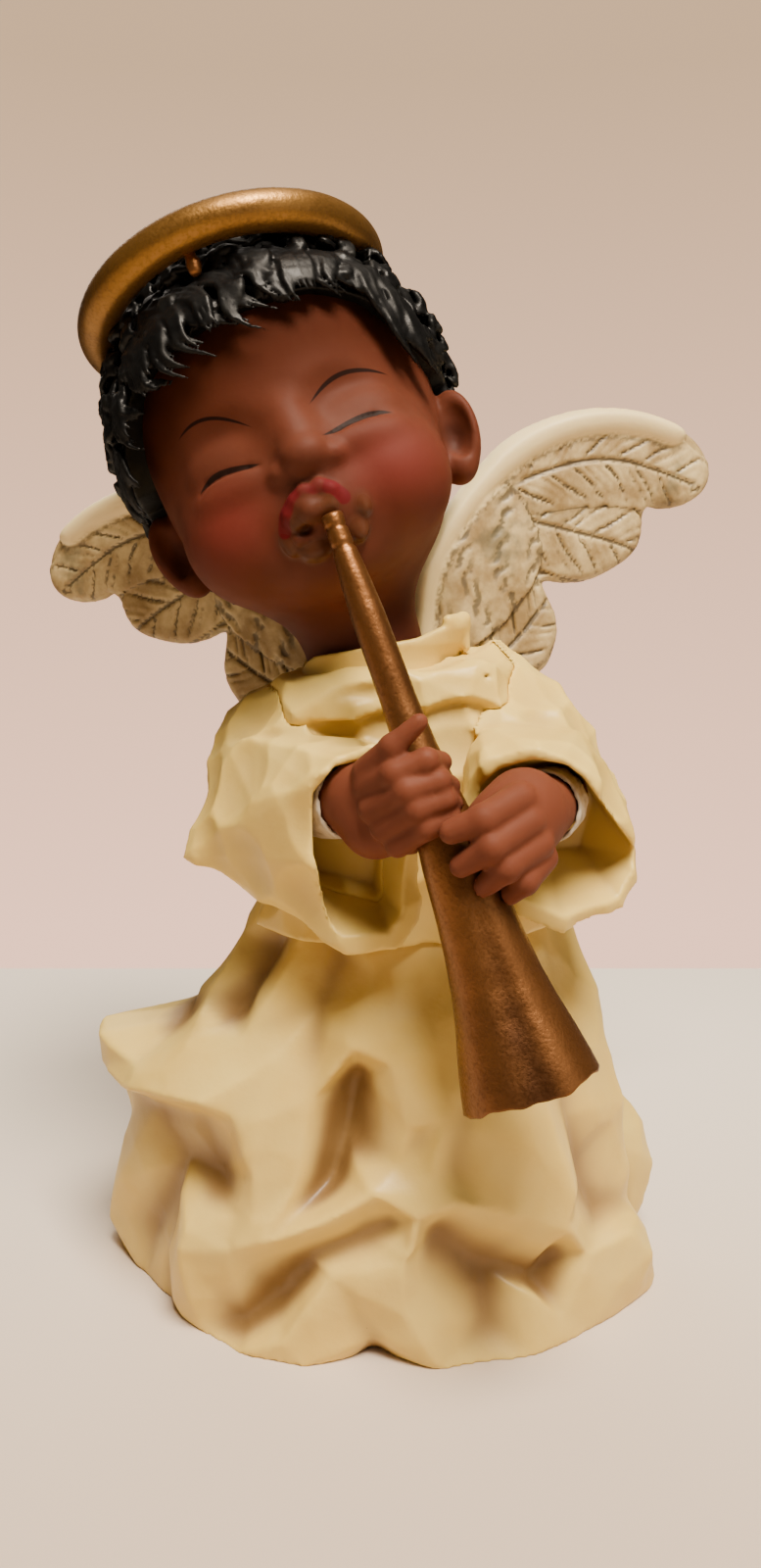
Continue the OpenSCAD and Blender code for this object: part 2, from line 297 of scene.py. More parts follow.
class Paint:
    """A small helper that builds the nodes of a material, or of the world."""

    def __init__(self, name, kind=bpy.data.materials, coordinate="Object"):
        self.owner = kind.new(name)
        self.owner.use_nodes = True
        self.tree = self.owner.node_tree
        self.where = self.node("ShaderNodeTexCoord").outputs[coordinate]

    def node(self, kind, inputs=None, **settings):
        made = self.tree.nodes.new(kind)
        for key, value in settings.items():
            setattr(made, key, value)
        for key, value in (inputs or {}).items():
            self.feed(made.inputs[key], value)
        return made

    def feed(self, socket, value):
        """Links a socket to a socket, or sets it to a number or a colour."""
        if isinstance(value, bpy.types.NodeSocket):
            self.tree.links.new(value, socket)
        elif isinstance(value, tuple) and len(value) == 3 and socket.type == "RGBA":
            socket.default_value = (*value, 1)
        else:
            socket.default_value = value

    def finish(self, **values):
        """Feeds the shader's own sockets and gives the material back."""
        for key, value in values.items():
            self.feed(self.tree.nodes["Principled BSDF"].inputs[key.replace("_", " ")], value)
        return self.owner

    def split(self, axis):
        return self.node("ShaderNodeSeparateXYZ", {"Vector": self.where}).outputs[axis]

    def mark(self, name):
        return self.node("ShaderNodeAttribute", attribute_name=name).outputs["Fac"]

    def math(self, op, a, b=0.0, c=0.0):
        made = self.node("ShaderNodeMath", operation=op)
        for socket, value in zip(made.inputs, (a, b, c)):
            self.feed(socket, value)
        return made.outputs[0]

    def noise(self, scale, detail=3.0, rough=0.5):
        inputs = {"Vector": self.where, "Scale": scale, "Detail": detail, "Roughness": rough}
        return self.node("ShaderNodeTexNoise", inputs).outputs["Fac"]

    def mix(self, factor, a, b):
        return self.node("ShaderNodeMix", {0: factor, 6: a, 7: b}, data_type="RGBA").outputs[2]

    def span(self, value, low, high, to_low=0.0, to_high=1.0):
        """A smooth step from one value to another while the input goes from low to high."""
        inputs = {"Value": value, "From Min": low, "From Max": high, "To Min": to_low, "To Max": to_high}
        return self.node("ShaderNodeMapRange", inputs, interpolation_type="SMOOTHSTEP").outputs[0]

    def bump(self, height, distance, strength, normal=None):
        made = self.node("ShaderNodeBump", {"Height": height, "Distance": distance, "Strength": strength})
        if normal is not None:
            self.feed(made.inputs["Normal"], normal)
        return made.outputs["Normal"]


def darker(colour, share):
    """The colour with each channel cut to a share."""
    return tuple(share * c for c in colour)


CREAM = (0.75, 0.53, 0.125)
CREAM_PALE = (0.80, 0.60, 0.165)
# Tan and deep brown for the hollows: part real wash, part painted shade.
TAN_WASH_AND_SHADE = (0.37, 0.24, 0.10)
DEEP_WASH_AND_SHADE = (0.17, 0.085, 0.024)
SPECK = (0.10, 0.07, 0.04)


def cream_paint():
    """Glossy cream paint with a tan wash and painted shade in the hollows, browner where they are deep."""
    p = Paint("cream_paint")
    patch = p.noise(90, 4, 0.6)
    deep = p.math("ADD", p.mark("hollow"), p.math("MULTIPLY_ADD", patch, 0.5, -0.25))
    base = p.mix(p.span(patch, 0.3, 0.7), CREAM, CREAM_PALE)
    # Painted shade: the tan and the deep brown in the hollows stand partly for a real wash, partly for the
    # shade there.
    colour = p.mix(p.span(deep, -0.8, 1.9, 0.0, 0.92), base, TAN_WASH_AND_SHADE)
    colour = p.mix(p.span(deep, 0.5, 2.6, 0.0, 0.75), colour, DEEP_WASH_AND_SHADE)
    colour = p.mix(p.span(p.noise(1500, 2), 0.80, 0.84, 0.0, 0.55), colour, SPECK)
    grain = p.bump(p.noise(900, 3, 0.55), 0.00012, 0.35)
    return p.finish(Base_Color=colour, Roughness=p.span(patch, 0.2, 0.8, 0.34, 0.46),
                    Specular_IOR_Level=0.3, Subsurface_Weight=0.05, Subsurface_Radius=(1.0, 0.7, 0.4),
                    Subsurface_Scale=0.001, Normal=p.bump(p.noise(160, 2), 0.0006, 0.25, grain))


# ---------------------------------------------------------------- stage

# Camera, table and lamps in metres; angles in degrees; the lens and its sensor in mm.
SENSOR_WIDTH = 36
LENS = 27.04
CAMERA_AT = (0, -0.166, 0.102)
CAMERA_TILT = 80
CLIP_START = 0.01
TABLE_REACH = 1.5
TABLE_EDGE = 0.132
# Painted light and shade: the table is darker near the camera and brighter far away.
TABLE_NEAR = (0.61, 0.49, 0.38)
TABLE_FAR = (0.93, 0.84, 0.73)
LAMP_TARGET = (0, 0, 0.08)
LAMPS = [
    # name, place, width, watts, colour
    ("key", (0.09, -0.24, 0.58), 0.22, 9.0, (1.0, 0.87, 0.72)),
    ("fill", (0.50, -0.45, 0.30), 0.50, 0.6, (1.0, 0.90, 0.80)),
    ("ceiling", (0.0, 0.02, 0.85), 0.50, 1.6, (1.0, 0.88, 0.74)),
    ("behind", (-0.25, 0.70, 0.55), 0.50, 2.0, (1.0, 0.90, 0.80)),
]
ROOM_LIGHT = (1.0, 0.84, 0.68)
ROOM_STRENGTH = 0.07
WALL_SPAN = (-0.28, 0.36)
# The wall's colour darkens upwards: painted shade.
WALL_LOW = (2.0, 1.16, 0.82)
WALL_HIGH = (0.92, 0.60, 0.35)


def camera():
    """The near viewpoint of a hand-held camera."""
    data = bpy.data.cameras.new("camera")
    data.sensor_width = SENSOR_WIDTH
    data.lens = LENS
    data.clip_start = CLIP_START
    holder = show("camera", data)
    holder.location = CAMERA_AT
    holder.rotation_euler = (math.radians(CAMERA_TILT), 0, 0)
    bpy.context.scene.camera = holder


def table():
    """A pale table top whose colour brightens away from the camera, as painted light and shade."""
    reach = TABLE_REACH
    corners = [(-reach, -reach, 0), (reach, -reach, 0), (reach, TABLE_EDGE, 0), (-reach, TABLE_EDGE, 0)]
    mesh = bpy.data.meshes.new("table")
    mesh.from_pydata(corners, [], [(0, 1, 2, 3)])
    p = Paint("table")
    colour = p.mix(p.span(p.split("Y"), -0.10, 0.10), TABLE_NEAR, TABLE_FAR)
    mesh.materials.append(p.finish(Base_Color=colour, Roughness=0.85))
    show("table", mesh)


def lamps():
    """Soft square lamps, each turned to the figurine."""
    for name, at, size, watts, colour in LAMPS:
        light = bpy.data.lights.new(name, "AREA")
        light.size = size
        light.energy = watts
        light.color = colour
        holder = show(name, light)
        holder.location = at
        holder.rotation_euler = (Vector(LAMP_TARGET) - Vector(at)).to_track_quat("-Z", "Y").to_euler()


def room():
    """Dim light from all round; seen directly, the room is a pale wall with painted shade that darkens it
    upwards.
    """
    p = Paint("room", bpy.data.worlds, "Generated")
    dim = p.tree.nodes["Background"]
    p.feed(dim.inputs["Color"], ROOM_LIGHT)
    p.feed(dim.inputs["Strength"], ROOM_STRENGTH)
    reach = {"Value": p.split("Z"), "From Min": WALL_SPAN[0], "From Max": WALL_SPAN[1]}
    rise = p.node("ShaderNodeMapRange", reach).outputs[0]
    wall = p.node("ShaderNodeBackground", {"Color": p.mix(rise, WALL_LOW, WALL_HIGH)})
    seen = p.node("ShaderNodeLightPath").outputs["Is Camera Ray"]
    pick = p.node("ShaderNodeMixShader", {0: seen, 1: dim.outputs[0], 2: wall.outputs[0]})
    p.feed(p.tree.nodes["World Output"].inputs["Surface"], pick.outputs[0])
    bpy.context.scene.world = p.owner


# ---------------------------------------------------------------- skirt

# The skirt's axis leans to the right as it rises; its plan is flattened in front and behind.
SKIRT_LEAN = 0.06
SKIRT_FRONT = 0.74
SKIRT_BACK = 0.80
SKIRT_TOP = 57.0
ROBE_MIDDLE = 2.0
# The fold raster: its steps in degrees and mm, and the mm round the skirt that a degree stands for.
TURN_STEP = 0.5
RISE_STEP = 0.25
MM_PER_DEGREE = 0.6
CELL = (TURN_STEP * MM_PER_DEGREE, RISE_STEP)
FACET_SPACING = 9.0
# Cut from below: x of the axis, radius and height of the felt pad's recess and of the dowel's hole.
CAVITIES = [(0, 23.1, 1.75), (2, 4.05, 45)]
UNDERSIDE = 0.05
SKIRT_CRUMPLE = 0.45
# A steep fold's radial distance is more than its true one; this share brings the two together.
FOLD_SLOPE = 0.7

# Folds of the skirt: lines of (angle round from the front, height, radius), mm and degrees.
# Positive angles run to the viewer's right.
HEM = [(-104, 0, 41.5), (-92, 0, 39), (-76, 0, 35.7), (-60, 0, 33.8), (-42, 0, 36.5), (-30, 0, 37.6),
       (-15, 0, 37.3), (-6, 0, 34), (-2, 0, 30.8), (4, 0, 34.2), (12, 0, 38), (22, 0, 38.2), (31, 0, 38.9),
       (48, 0, 38.5), (61, 0, 39.4), (73, 0, 40.8), (80, 0, 40.2), (87, 0, 35.4), (97, 0, 38.5),
       (109, 0, 39.5), (124, 0, 37), (140, 0, 39.5), (156, 0, 36.5), (172, 0, 39), (188, 0, 36),
       (204, 0, 39), (220, 0, 36.5), (238, 0, 39.5)]
FRONT_FOLDS = [
    # shelf on the left: its outer edge, its front edge and the ridge it ends in
    [(-103, 36.6, 38), (-95, 36.8, 41.8), (-86, 36.4, 41.2), (-70, 34.5, 37.6)],
    [(-103, 31.6, 38), (-95, 31.8, 41.6), (-86, 31.4, 41.2), (-71, 31.2, 39.6), (-56, 33.1, 38.6),
     (-42, 34, 37.4),
     (-36, 32, 35.4)],
    [(-106, 38.6, 31), (-96, 38.4, 31.2), (-84, 38.2, 31.0), (-56, 40.5, 31.6), (-31, 39.7, 31)],
    [(-88, 27.6, 38.0), (-70, 28.6, 34.6), (-50, 30.4, 33.6)],
    # square hollow below the shelf
    [(-92, 22, 38.5), (-84, 13, 39.5), (-92, 5, 41)],
    [(-60, 22, 32.5), (-46, 21, 31.2)],
    [(-74, 9, 33.8), (-62, 8, 34)],
    # upright ridge right of the square hollow
    [(-31, 39.7, 31), (-30, 32, 34.5), (-30, 24.5, 35.7), (-29, 19.6, 36), (-25, 16.8, 37.2)],
    # small bright shelf low on the left
    [(-44, 15.4, 38), (-35, 18.6, 35), (-29, 19.6, 36)],
    [(-45, 12.6, 38.7), (-33, 14.3, 37.6), (-25, 16.8, 37.2)],
    [(-54, 2, 35.5)],
    # long rounded roll from the low left up to the middle
    [(-25, 16.8, 37.2), (-14, 20.3, 36.6), (-4, 24.3, 35.6), (5, 24, 35.6)],
    # dark groove under the roll, then the bright facet below it
    [(-18, 13.6, 32.8), (-6, 17.1, 32.3), (3, 19.5, 33)],
    [(-17, 12, 32.2), (-26, 6.6, 31.6), (-33, 2.1, 33.6)],
    [(-11, 12.6, 36.2), (3, 15, 36.8), (4, 8, 37.6), (5, 2, 36.5)],
    [(-20, 3.1, 38), (-11, 12.6, 36.2)],
    [(-2, 3.4, 34.5)],
    # egg-shaped pocket: its floor and its rim
    [(-13, 37, 25), (-15, 29.3, 25.0), (-16, 22.6, 28.0)],
    [(-21, 24.8, 33.5), (-21, 34.7, 30.6), (-11, 42, 30), (-2, 40.3, 31), (3, 31.8, 32.3), (1, 26.8, 33)],
    [(-26, 30.9, 33)],
    # long S-shaped ridge and the valley beside it
    [(-4, 47, 27), (6, 42.2, 30), (10, 33.1, 33), (8, 25.9, 34.6), (5, 21.3, 36.6), (4, 16, 37)],
    [(6.3, 31, 31)],
    # smooth panel right of it
    [(18, 47.6, 27.5), (17, 38, 31.2), (14, 25.1, 33.3)],
    # wide hollow at the front right
    [(10, 17.5, 32), (24, 10.9, 31.4), (36, 7.2, 32.3), (43, 11.5, 33)],
    [(14, 22.5, 35.4), (21, 21, 35.6), (31, 18.6, 36.2), (38, 16.7, 37.5)],
    [(24, 4.5, 34.5)],
    # raised panel under the horn's bell, with a crisp right edge
    [(19, 33, 33.4), (22, 21, 35.8)],
    [(33, 38, 32.6), (36, 31, 35), (40, 21.5, 37.2), (38, 16.7, 37.5), (46, 11.2, 37.6), (54, 5.6, 39.2)],
    [(47, 30, 31), (53, 21, 31.5), (60, 14, 34)],
    # lobe on the right
    [(60, 11.8, 39), (66, 7, 41), (73, 2, 41)],
    [(32, 8.4, 36), (40, 3.5, 37.8)],
    # upper part: upright ridges and valleys up to the waist
    [(-74, 43, 28.2), (-76, 52, 22.6)],
    [(-58, 42, 25.6), (-56, 51, 20.0)],
    [(-43, 41.5, 29.8), (-38, 52, 23.4)],
    [(-25, 46.4, 24.2), (-23, 52, 21)],
    [(-8, 50, 24)],
    [(4, 52, 23.5)],
    [(34, 45, 28.6), (40, 52, 25)],
    [(58, 44, 26.5), (57, 52.5, 22.5)],
]
SIDE_FOLDS = [
    # ruffle at the right and back
    [(97, 6, 40.2), (98, 12, 40.8), (102, 18, 39.8), (104, 24, 35.5)],
    [(87, 4, 34.6), (85, 12, 33.8), (84, 20, 33.0), (90, 30, 30.5)],
    [(76, 38, 30.5), (74, 28, 34), (77, 12, 36.5)],
    [(112, 12, 34), (118, 20, 31)],
    [(98, 40, 29.5), (100, 52, 24.5)],
    [(124, 30, 33.5), (128, 18, 38), (126, 6, 39.5)],
    [(146, 14, 33), (144, 26, 30)],
    [(140, 42, 27), (138, 52, 22)],
    [(160, 44, 29), (163, 32, 33.5), (158, 20, 37.5), (166, 8, 38.5)],
    [(184, 10, 33), (181, 24, 30), (183, 38, 27)],
    [(200, 46, 27.5), (203, 34, 33), (208, 22, 37), (202, 10, 38.8)],
    [(222, 12, 33), (224, 26, 30)],
    [(230, 46, 25), (236, 38, 32), (240, 26, 36.5), (238, 12, 38.8)],
    [(252, 24, 33.5), (250, 34, 34)],
    [(180, 52, 22.5), (220, 52, 21.5), (255, 52, 21)],
]
WAIST = [(a, SKIRT_TOP, 20.5) for a in range(-100, 260, 20)]


def crumple(clay, spacing, depth):
    """Offsets in mm like crumpled paper: dished facets that meet along sharp ridges."""
    offset = np.full(clay.field.shape, depth, np.float32)
    counts = np.ceil(np.array(clay.field.shape) * clay.step / spacing).astype(int)
    for cell in np.ndindex(*counts):
        seed = clay.low + (np.array(cell) + RNG.uniform(0.05, 0.95, 3)) * spacing
        tilt = RNG.normal(0, 0.6 * depth / spacing, 3)
        cut, x, y, z = clay.window(seed - 1.2 * spacing, seed + 1.2 * spacing)
        dx, dy, dz = x - seed[0], y - seed[1], z - seed[2]
        dish = (dx * dx + dy * dy + dz * dz) * (depth / (0.62 * spacing) ** 2)
        offset[cut] = np.minimum(offset[cut], dish + dx * tilt[0] + dy * tilt[1] + dz * tilt[2])
    return offset


def fold_raster(lines, angles, heights):
    """Radius over angle and height: flat facets between the fold lines, creased along them."""
    places, radii, ties = [], [], []
    for turn in (-360, 0, 360):
        for line in lines:
            for i, (angle, height, radius) in enumerate(line):
                if i:
                    ties.append((len(places) - 1, len(places)))
                places.append(Vector(((angle + turn) * MM_PER_DEGREE, height)))
                radii.append(radius)
    points, _, triangles, origins, _, _ = delaunay_2d_cdt(places, ties, [], 0, 1e-3)
    radius_at = [np.mean([radii[i] for i in source]) if source else None for source in origins]
    raster = np.full((len(angles), len(heights)), np.nan)
    u = angles * MM_PER_DEGREE
    for tri in triangles:
        values = [radius_at[i] for i in tri]
        known = np.mean([v for v in values if v is not None])
        values = [known if v is None else v for v in values]
        (ax, ay), (bx, by), (cx, cy) = (points[i] for i in tri)
        area = (bx - ax) * (cy - ay) - (cx - ax) * (by - ay)
        if abs(area) < 1e-9:
            continue
        i0, i1 = np.searchsorted(u, [min(ax, bx, cx), max(ax, bx, cx)])
        j0, j1 = np.searchsorted(heights, [min(ay, by, cy), max(ay, by, cy)])
        if i0 >= len(u) or i1 == 0:
            continue
        gu, gh = np.meshgrid(u[i0:i1 + 1], heights[j0:j1 + 1], indexing="ij")
        wb = ((gu - ax) * (cy - ay) - (cx - ax) * (gh - ay)) / area
        wc = ((bx - ax) * (gh - ay) - (gu - ax) * (by - ay)) / area
        wa = 1 - wb - wc
        inside = (wa >= -1e-6) & (wb >= -1e-6) & (wc >= -1e-6)
        part = raster[i0:i1 + 1, j0:j1 + 1]
        part[inside] = (wa * values[0] + wb * values[1] + wc * values[2])[inside]
    return raster


def blur(raster, sigma):
    """Gaussian blur, sigma in mm, of a raster that wraps round in its first axis."""
    for axis in (0, 1):
        width = sigma / CELL[axis]
        taps = range(-int(3 * width) - 1, int(3 * width) + 2)
        weights = np.array([math.exp(-0.5 * (t / width) ** 2) for t in taps])
        weights /= weights.sum()
        if axis == 0:
            raster = sum(w * np.roll(raster, t, axis=0) for w, t in zip(weights, taps))
        else:
            pad = len(weights) // 2
            wide = np.pad(raster, ((0, 0), (pad, pad)), mode="reflect", reflect_type="odd")
            raster = sum(w * wide[:, i:i + raster.shape[1]] for i, w in enumerate(weights))
    return raster


def skirt():
    """Stiff folded skirt: crisp on its ridges, rounded in its hollows."""
    angles = np.arange(-180, 180, TURN_STEP)
    heights = np.arange(0, SKIRT_TOP + 0.01, RISE_STEP)
    sharp = fold_raster([HEM] + FRONT_FOLDS + SIDE_FOLDS + [WAIST], angles, heights)
    sharp = np.where(np.isnan(sharp), np.nanmean(sharp, axis=0)[None, :], sharp)
    # sharpen the folds, keep the ridges crisp and round the hollows
    sharp = sharp + 0.3 * (sharp - blur(sharp, 6.0))
    radius = -smooth_min(-blur(sharp, 0.25), -blur(sharp, 1.0), 0.3)
    depth = 0.45 * (blur(radius, 7.0) - radius) + 0.55 * (blur(radius, 3.0) - radius)

    clay = Clay((-45, -34, -0.8), (46, 37, SKIRT_TOP + 1), 0.45)
    x, y, z = clay.whole()

    def sample(raster, x, y, z):
        """The raster's value at each place's angle and height, and the distance from the axis."""
        dx = x - SKIRT_LEAN * z
        dy = np.where(y < 0, y / SKIRT_FRONT, y / SKIRT_BACK)
        turn = (np.degrees(np.arctan2(dx, -dy)) + 180) / TURN_STEP
        rise = np.clip(z / RISE_STEP, 0, len(heights) - 1.001) + 0 * turn
        i, j = np.floor(turn).astype(int), np.floor(rise).astype(int)
        fi, fj = turn - i, rise - j
        i0, i1 = i % len(angles), (i + 1) % len(angles)
        below = raster[i0, j] * (1 - fi) + raster[i1, j] * fi
        above = raster[i0, j + 1] * (1 - fi) + raster[i1, j + 1] * fi
        return below * (1 - fj) + above * fj, np.hypot(dx, dy)

    edge, out = sample(radius, x, y, z)
    clay.field = ((out - edge) * FOLD_SLOPE).astype(np.float32) - crumple(clay, FACET_SPACING, SKIRT_CRUMPLE)
    clay.field = np.maximum(clay.field, np.maximum(UNDERSIDE - z, z - SKIRT_TOP))
    for middle, wide, top in CAVITIES:
        clay.field = np.maximum(clay.field, -np.maximum(np.hypot(x - middle, y) - wide, z - top))
    points, faces = clay.mesh(0.3)
    hollow = np.maximum(sample(depth, *points.T)[0], hollowness(points, faces, 40) - 0.1)
    make_piece("skirt_cast", points, faces, CREAM_PAINT, "skirt", {"hollow": hollow})


# ---------------------------------------------------------------- shared shapes

def turned(x=0.0, y=0.0, z=0.0):
    """Rotation about X, then Y, then Z, in degrees."""
    total = Matrix.Identity(3)
    for angle, axis in ((z, "Z"), (y, "Y"), (x, "X")):
        total = total @ Matrix.Rotation(math.radians(angle), 3, axis)
    return np.array(total)


def placed(rotation, at):
    """Object matrix from a rotation and a place in mm."""
    return Matrix.Translation(Vector(at) * MM) @ Matrix(rotation.tolist()).to_4x4()


def to_world(points, rotation, at):
    """Points from a local frame, in world mm."""
    return points @ rotation.T + np.asarray(at, float)


def read(table, at):
    """A two-column table's value at one or more places."""
    return np.interp(at, *np.array(table).T)


def hull(*corners):
    """A convex, flat-faced block spanned by its corners."""
    mesh = bmesh.new()
    for corner in corners:
        mesh.verts.new(corner)
    bmesh.ops.convex_hull(mesh, input=mesh.verts)
    middle = np.mean(corners, axis=0)
    planes = []
    for face in mesh.faces:
        face.normal_update()
        n = np.array(face.normal)
        c = np.array(face.verts[0].co)
        if n.dot(c - middle) < 0:
            n = -n
        if face.calc_area() > 1e-4:
            planes.append((n, n.dot(c)))
    mesh.free()

    def dist(x, y, z):
        total = -np.inf
        for n, offset in planes:
            total = np.maximum(total, x * n[0] + y * n[1] + z * n[2] - offset)
        return total

    return np.min(corners, axis=0), np.max(corners, axis=0), dist


def run_of(clay, places, sizes, blend=0.0, carve=False):
    """Adds or carves a chain of limbs through the places."""
    last = len(sizes) - 1
    for k in range(len(places) - 1):
        shape = limb(places[k], places[k + 1], sizes[min(k, last)], sizes[min(k + 1, last)])
        (clay.cut if carve else clay.add)(shape, blend)


def nearness(shape, points, soft):
    """1 within a shape, falling to 0 over a soft edge outside it."""
    away = shape[2](points[:, 0], points[:, 1], points[:, 2])
    return np.clip(1 - away / soft, 0, 1)


def grid_faces(rows, columns, wrap_rows=False):
    """Quads over rows of points, each row closed round; wrap_rows also joins the last row to the first."""
    last = rows if wrap_rows else rows - 1
    j, i = np.meshgrid(np.arange(last), np.arange(columns), indexing="ij")
    near, far = j * columns, (j + 1) % rows * columns
    nxt = (i + 1) % columns
    return np.stack([near + i, near + nxt, far + nxt, far + i], axis=2).reshape(-1, 4)


# ---------------------------------------------------------------- more paint

SKIN = (0.102, 0.028, 0.014)
# Painted light: the hands' skin is a lighter copy of the face's skin, to brighten hands that lie in shade.
HAND_SKIN_WITH_PAINTED_LIGHT = (0.150, 0.044, 0.022)
SKIN_DEEP = (0.035, 0.008, 0.004)
BLUSH = (0.145, 0.020, 0.015)
LIP_RED = (0.105, 0.006, 0.009)
GLUE = (0.075, 0.030, 0.014)
BROWN_LINE = (0.006, 0.003, 0.002)
SKIN_SHINE = 0.12
GILT_BRIGHT = (0.21, 0.085, 0.024)
GILT_DULL = (0.085, 0.032, 0.010)
HALO_BRIGHT = (0.27, 0.135, 0.030)
HALO_DULL = (0.13, 0.06, 0.015)
HAIR_BLACK = (0.0025, 0.0025, 0.0025)
HAIR_HIGHLIGHT_GREY = (0.010, 0.010, 0.008)
WING_CREAM = (0.82, 0.66, 0.33)
WING_WASH = (0.23, 0.14, 0.042)
WING_LINE = (0.07, 0.050, 0.024)
WING_SMUDGE = (0.10, 0.09, 0.05)
FELT_GREEN = (0.012, 0.05, 0.02)
FELT_PALE = (0.02, 0.075, 0.03)
RESIN = (0.62, 0.56, 0.44)
RESIN_DARK = (0.50, 0.43, 0.32)
CUFF_WHITE = (0.66, 0.58, 0.44)
CUFF_WORN = (0.42, 0.34, 0.24)


def skin_base(name, skin):
    """Red-brown skin, darker in its hollows: the paint, its colour and its roughness."""
    p = Paint(name)
    patch = p.noise(110, 3, 0.55)
    base = p.mix(p.span(patch, 0.3, 0.7), skin, darker(skin, 0.86))
    deep = p.math("ADD", p.mark("hollow"), p.math("MULTIPLY_ADD", patch, 0.2, -0.1))
    colour = p.mix(p.span(deep, 0.0, 0.55, 0.0, 0.85), base, SKIN_DEEP)
    return p, colour, p.span(patch, 0.3, 0.7, 0.56, 0.66)


def finish_skin(p, colour, rough, shine):
    """A faintly translucent, fine-grained finish."""
    return p.finish(Base_Color=colour, Roughness=rough, Subsurface_Weight=0.15,
                    Subsurface_Radius=(1.0, 0.35, 0.2), Subsurface_Scale=0.0008, Specular_IOR_Level=shine,
                    Normal=p.bump(p.noise(1400), 0.00005, 0.35))


def hand_paint():
    return finish_skin(*skin_base("hand_paint", HAND_SKIN_WITH_PAINTED_LIGHT), SKIN_SHINE)


def face_paint():
    """Skin with a forehead darkened by painted shadow of the hair and halo, and duller there, blush, painted
    lips, brows and lashes, and glossy glue.
    """
    p, colour, rough = skin_base("face_paint", SKIN)
    x, z = p.split("X"), p.split("Z")
    # Painted shadow: the forehead darkens towards the hair and halo.
    colour = p.mix(p.span(z, -7 * MM, 7 * MM, 0.0, 0.85), colour, darker(SKIN, 0.42))
    for cheek_x, cheek_z in CHEEK_PAINT:
        dx = p.math("MULTIPLY", p.math("SUBTRACT", x, cheek_x * MM), 1 / CHEEK_WIDTH / MM)
        dz = p.math("MULTIPLY", p.math("SUBTRACT", z, cheek_z * MM), 1 / CHEEK_HEIGHT / MM)
        away = p.math("SQRT", p.math("ADD", p.math("MULTIPLY", dx, dx), p.math("MULTIPLY", dz, dz)))
        colour = p.mix(p.span(away, 1.2, 0.1, 0.0, 0.62), colour, BLUSH)
    colour = p.mix(p.math("MULTIPLY", p.mark("glue"), 0.75), colour, GLUE)
    colour = p.mix(p.span(p.mark("lips"), 0.35, 0.75, 0.0, 0.92), colour, LIP_RED)
    # Painted shade: the dark mark darkens the ear bowls and the mouth opening.
    colour = p.mix(p.span(p.mark("dark"), 0.2, 0.9, 0.0, 0.85), colour, SKIN_DEEP)
    for places, width in BROWS + LASHES:
        colour = p.mix(stroke(p, x, z, places, width), colour, BROWN_LINE)
    rough = p.mix(p.mark("glue"), rough, (0.12, 0.12, 0.12))
    return finish_skin(p, colour, rough, p.span(z, -9 * MM, 5 * MM, SKIN_SHINE, 0.01))


def stroke(p, x, z, places, width):
    """How much a painted line through the places covers a point; it thins out at both ends."""
    xs, zs = np.array(places).T
    curve = [float(c) for c in np.polyfit(xs, zs, 3)]
    mm_x = p.math("MULTIPLY", x, 1 / MM)
    line = curve[0]
    for c in curve[1:]:
        line = p.math("MULTIPLY_ADD", mm_x, line, c)
    away = p.math("ABSOLUTE", p.math("SUBTRACT", p.math("MULTIPLY", z, 1 / MM), line))
    middle, length = float((xs[0] + xs[-1]) / 2), float(abs(xs[-1] - xs[0]) / 2)
    reach = p.math("ABSOLUTE", p.math("MULTIPLY", p.math("SUBTRACT", mm_x, middle), 1 / length))
    thick = p.math("MULTIPLY", p.math("SUBTRACT", 1.0, p.math("POWER", reach, 4.0)), width)
    return p.span(p.math("SUBTRACT", away, thick), 0.09, -0.06, 0.0, 0.9)


def gilt_paint(name, bright=GILT_BRIGHT, dull=GILT_DULL):
    """Old gold paint: a fine speckle, brown where it has worn and, as painted shade, where the piece is
    marked hollow.
    """
    p = Paint(name)
    speckle = p.noise(2600, 3, 0.6)
    # Painted shade: the hollow mark turns the gilt dull brown.
    deep = p.math("ADD", p.math("MULTIPLY", p.mark("hollow"), 1.4), p.noise(75, 4, 0.6))
    base = p.mix(p.span(deep, 0.35, 0.95), bright, dull)
    return p.finish(Base_Color=p.mix(p.span(speckle, 0.46, 0.72, 0.0, 0.32), base, darker(dull, 0.5)),
                    Metallic=0.8, Roughness=p.span(speckle, 0.3, 0.7, 0.30, 0.46),
                    Normal=p.bump(speckle, 0.00008, 0.5, p.bump(p.noise(300), 0.0004, 0.35)))


def hair_paint():
    """Glossy black paint with a painted grey highlight on the raised strands."""
    p = Paint("hair_paint")
    # Painted highlight: the raised strands turn grey.
    raised = p.span(p.mark("hollow"), 0.05, -0.35)
    patch = p.noise(260, 3, 0.6)
    colour = p.mix(p.math("MULTIPLY", raised, p.span(patch, 0.45, 0.75)), HAIR_BLACK, HAIR_HIGHLIGHT_GREY)
    return p.finish(Base_Color=colour, Roughness=p.span(patch, 0.3, 0.7, 0.34, 0.56),
                    Specular_IOR_Level=0.2, Normal=p.bump(p.noise(1300, 3, 0.6), 0.0001, 0.5))


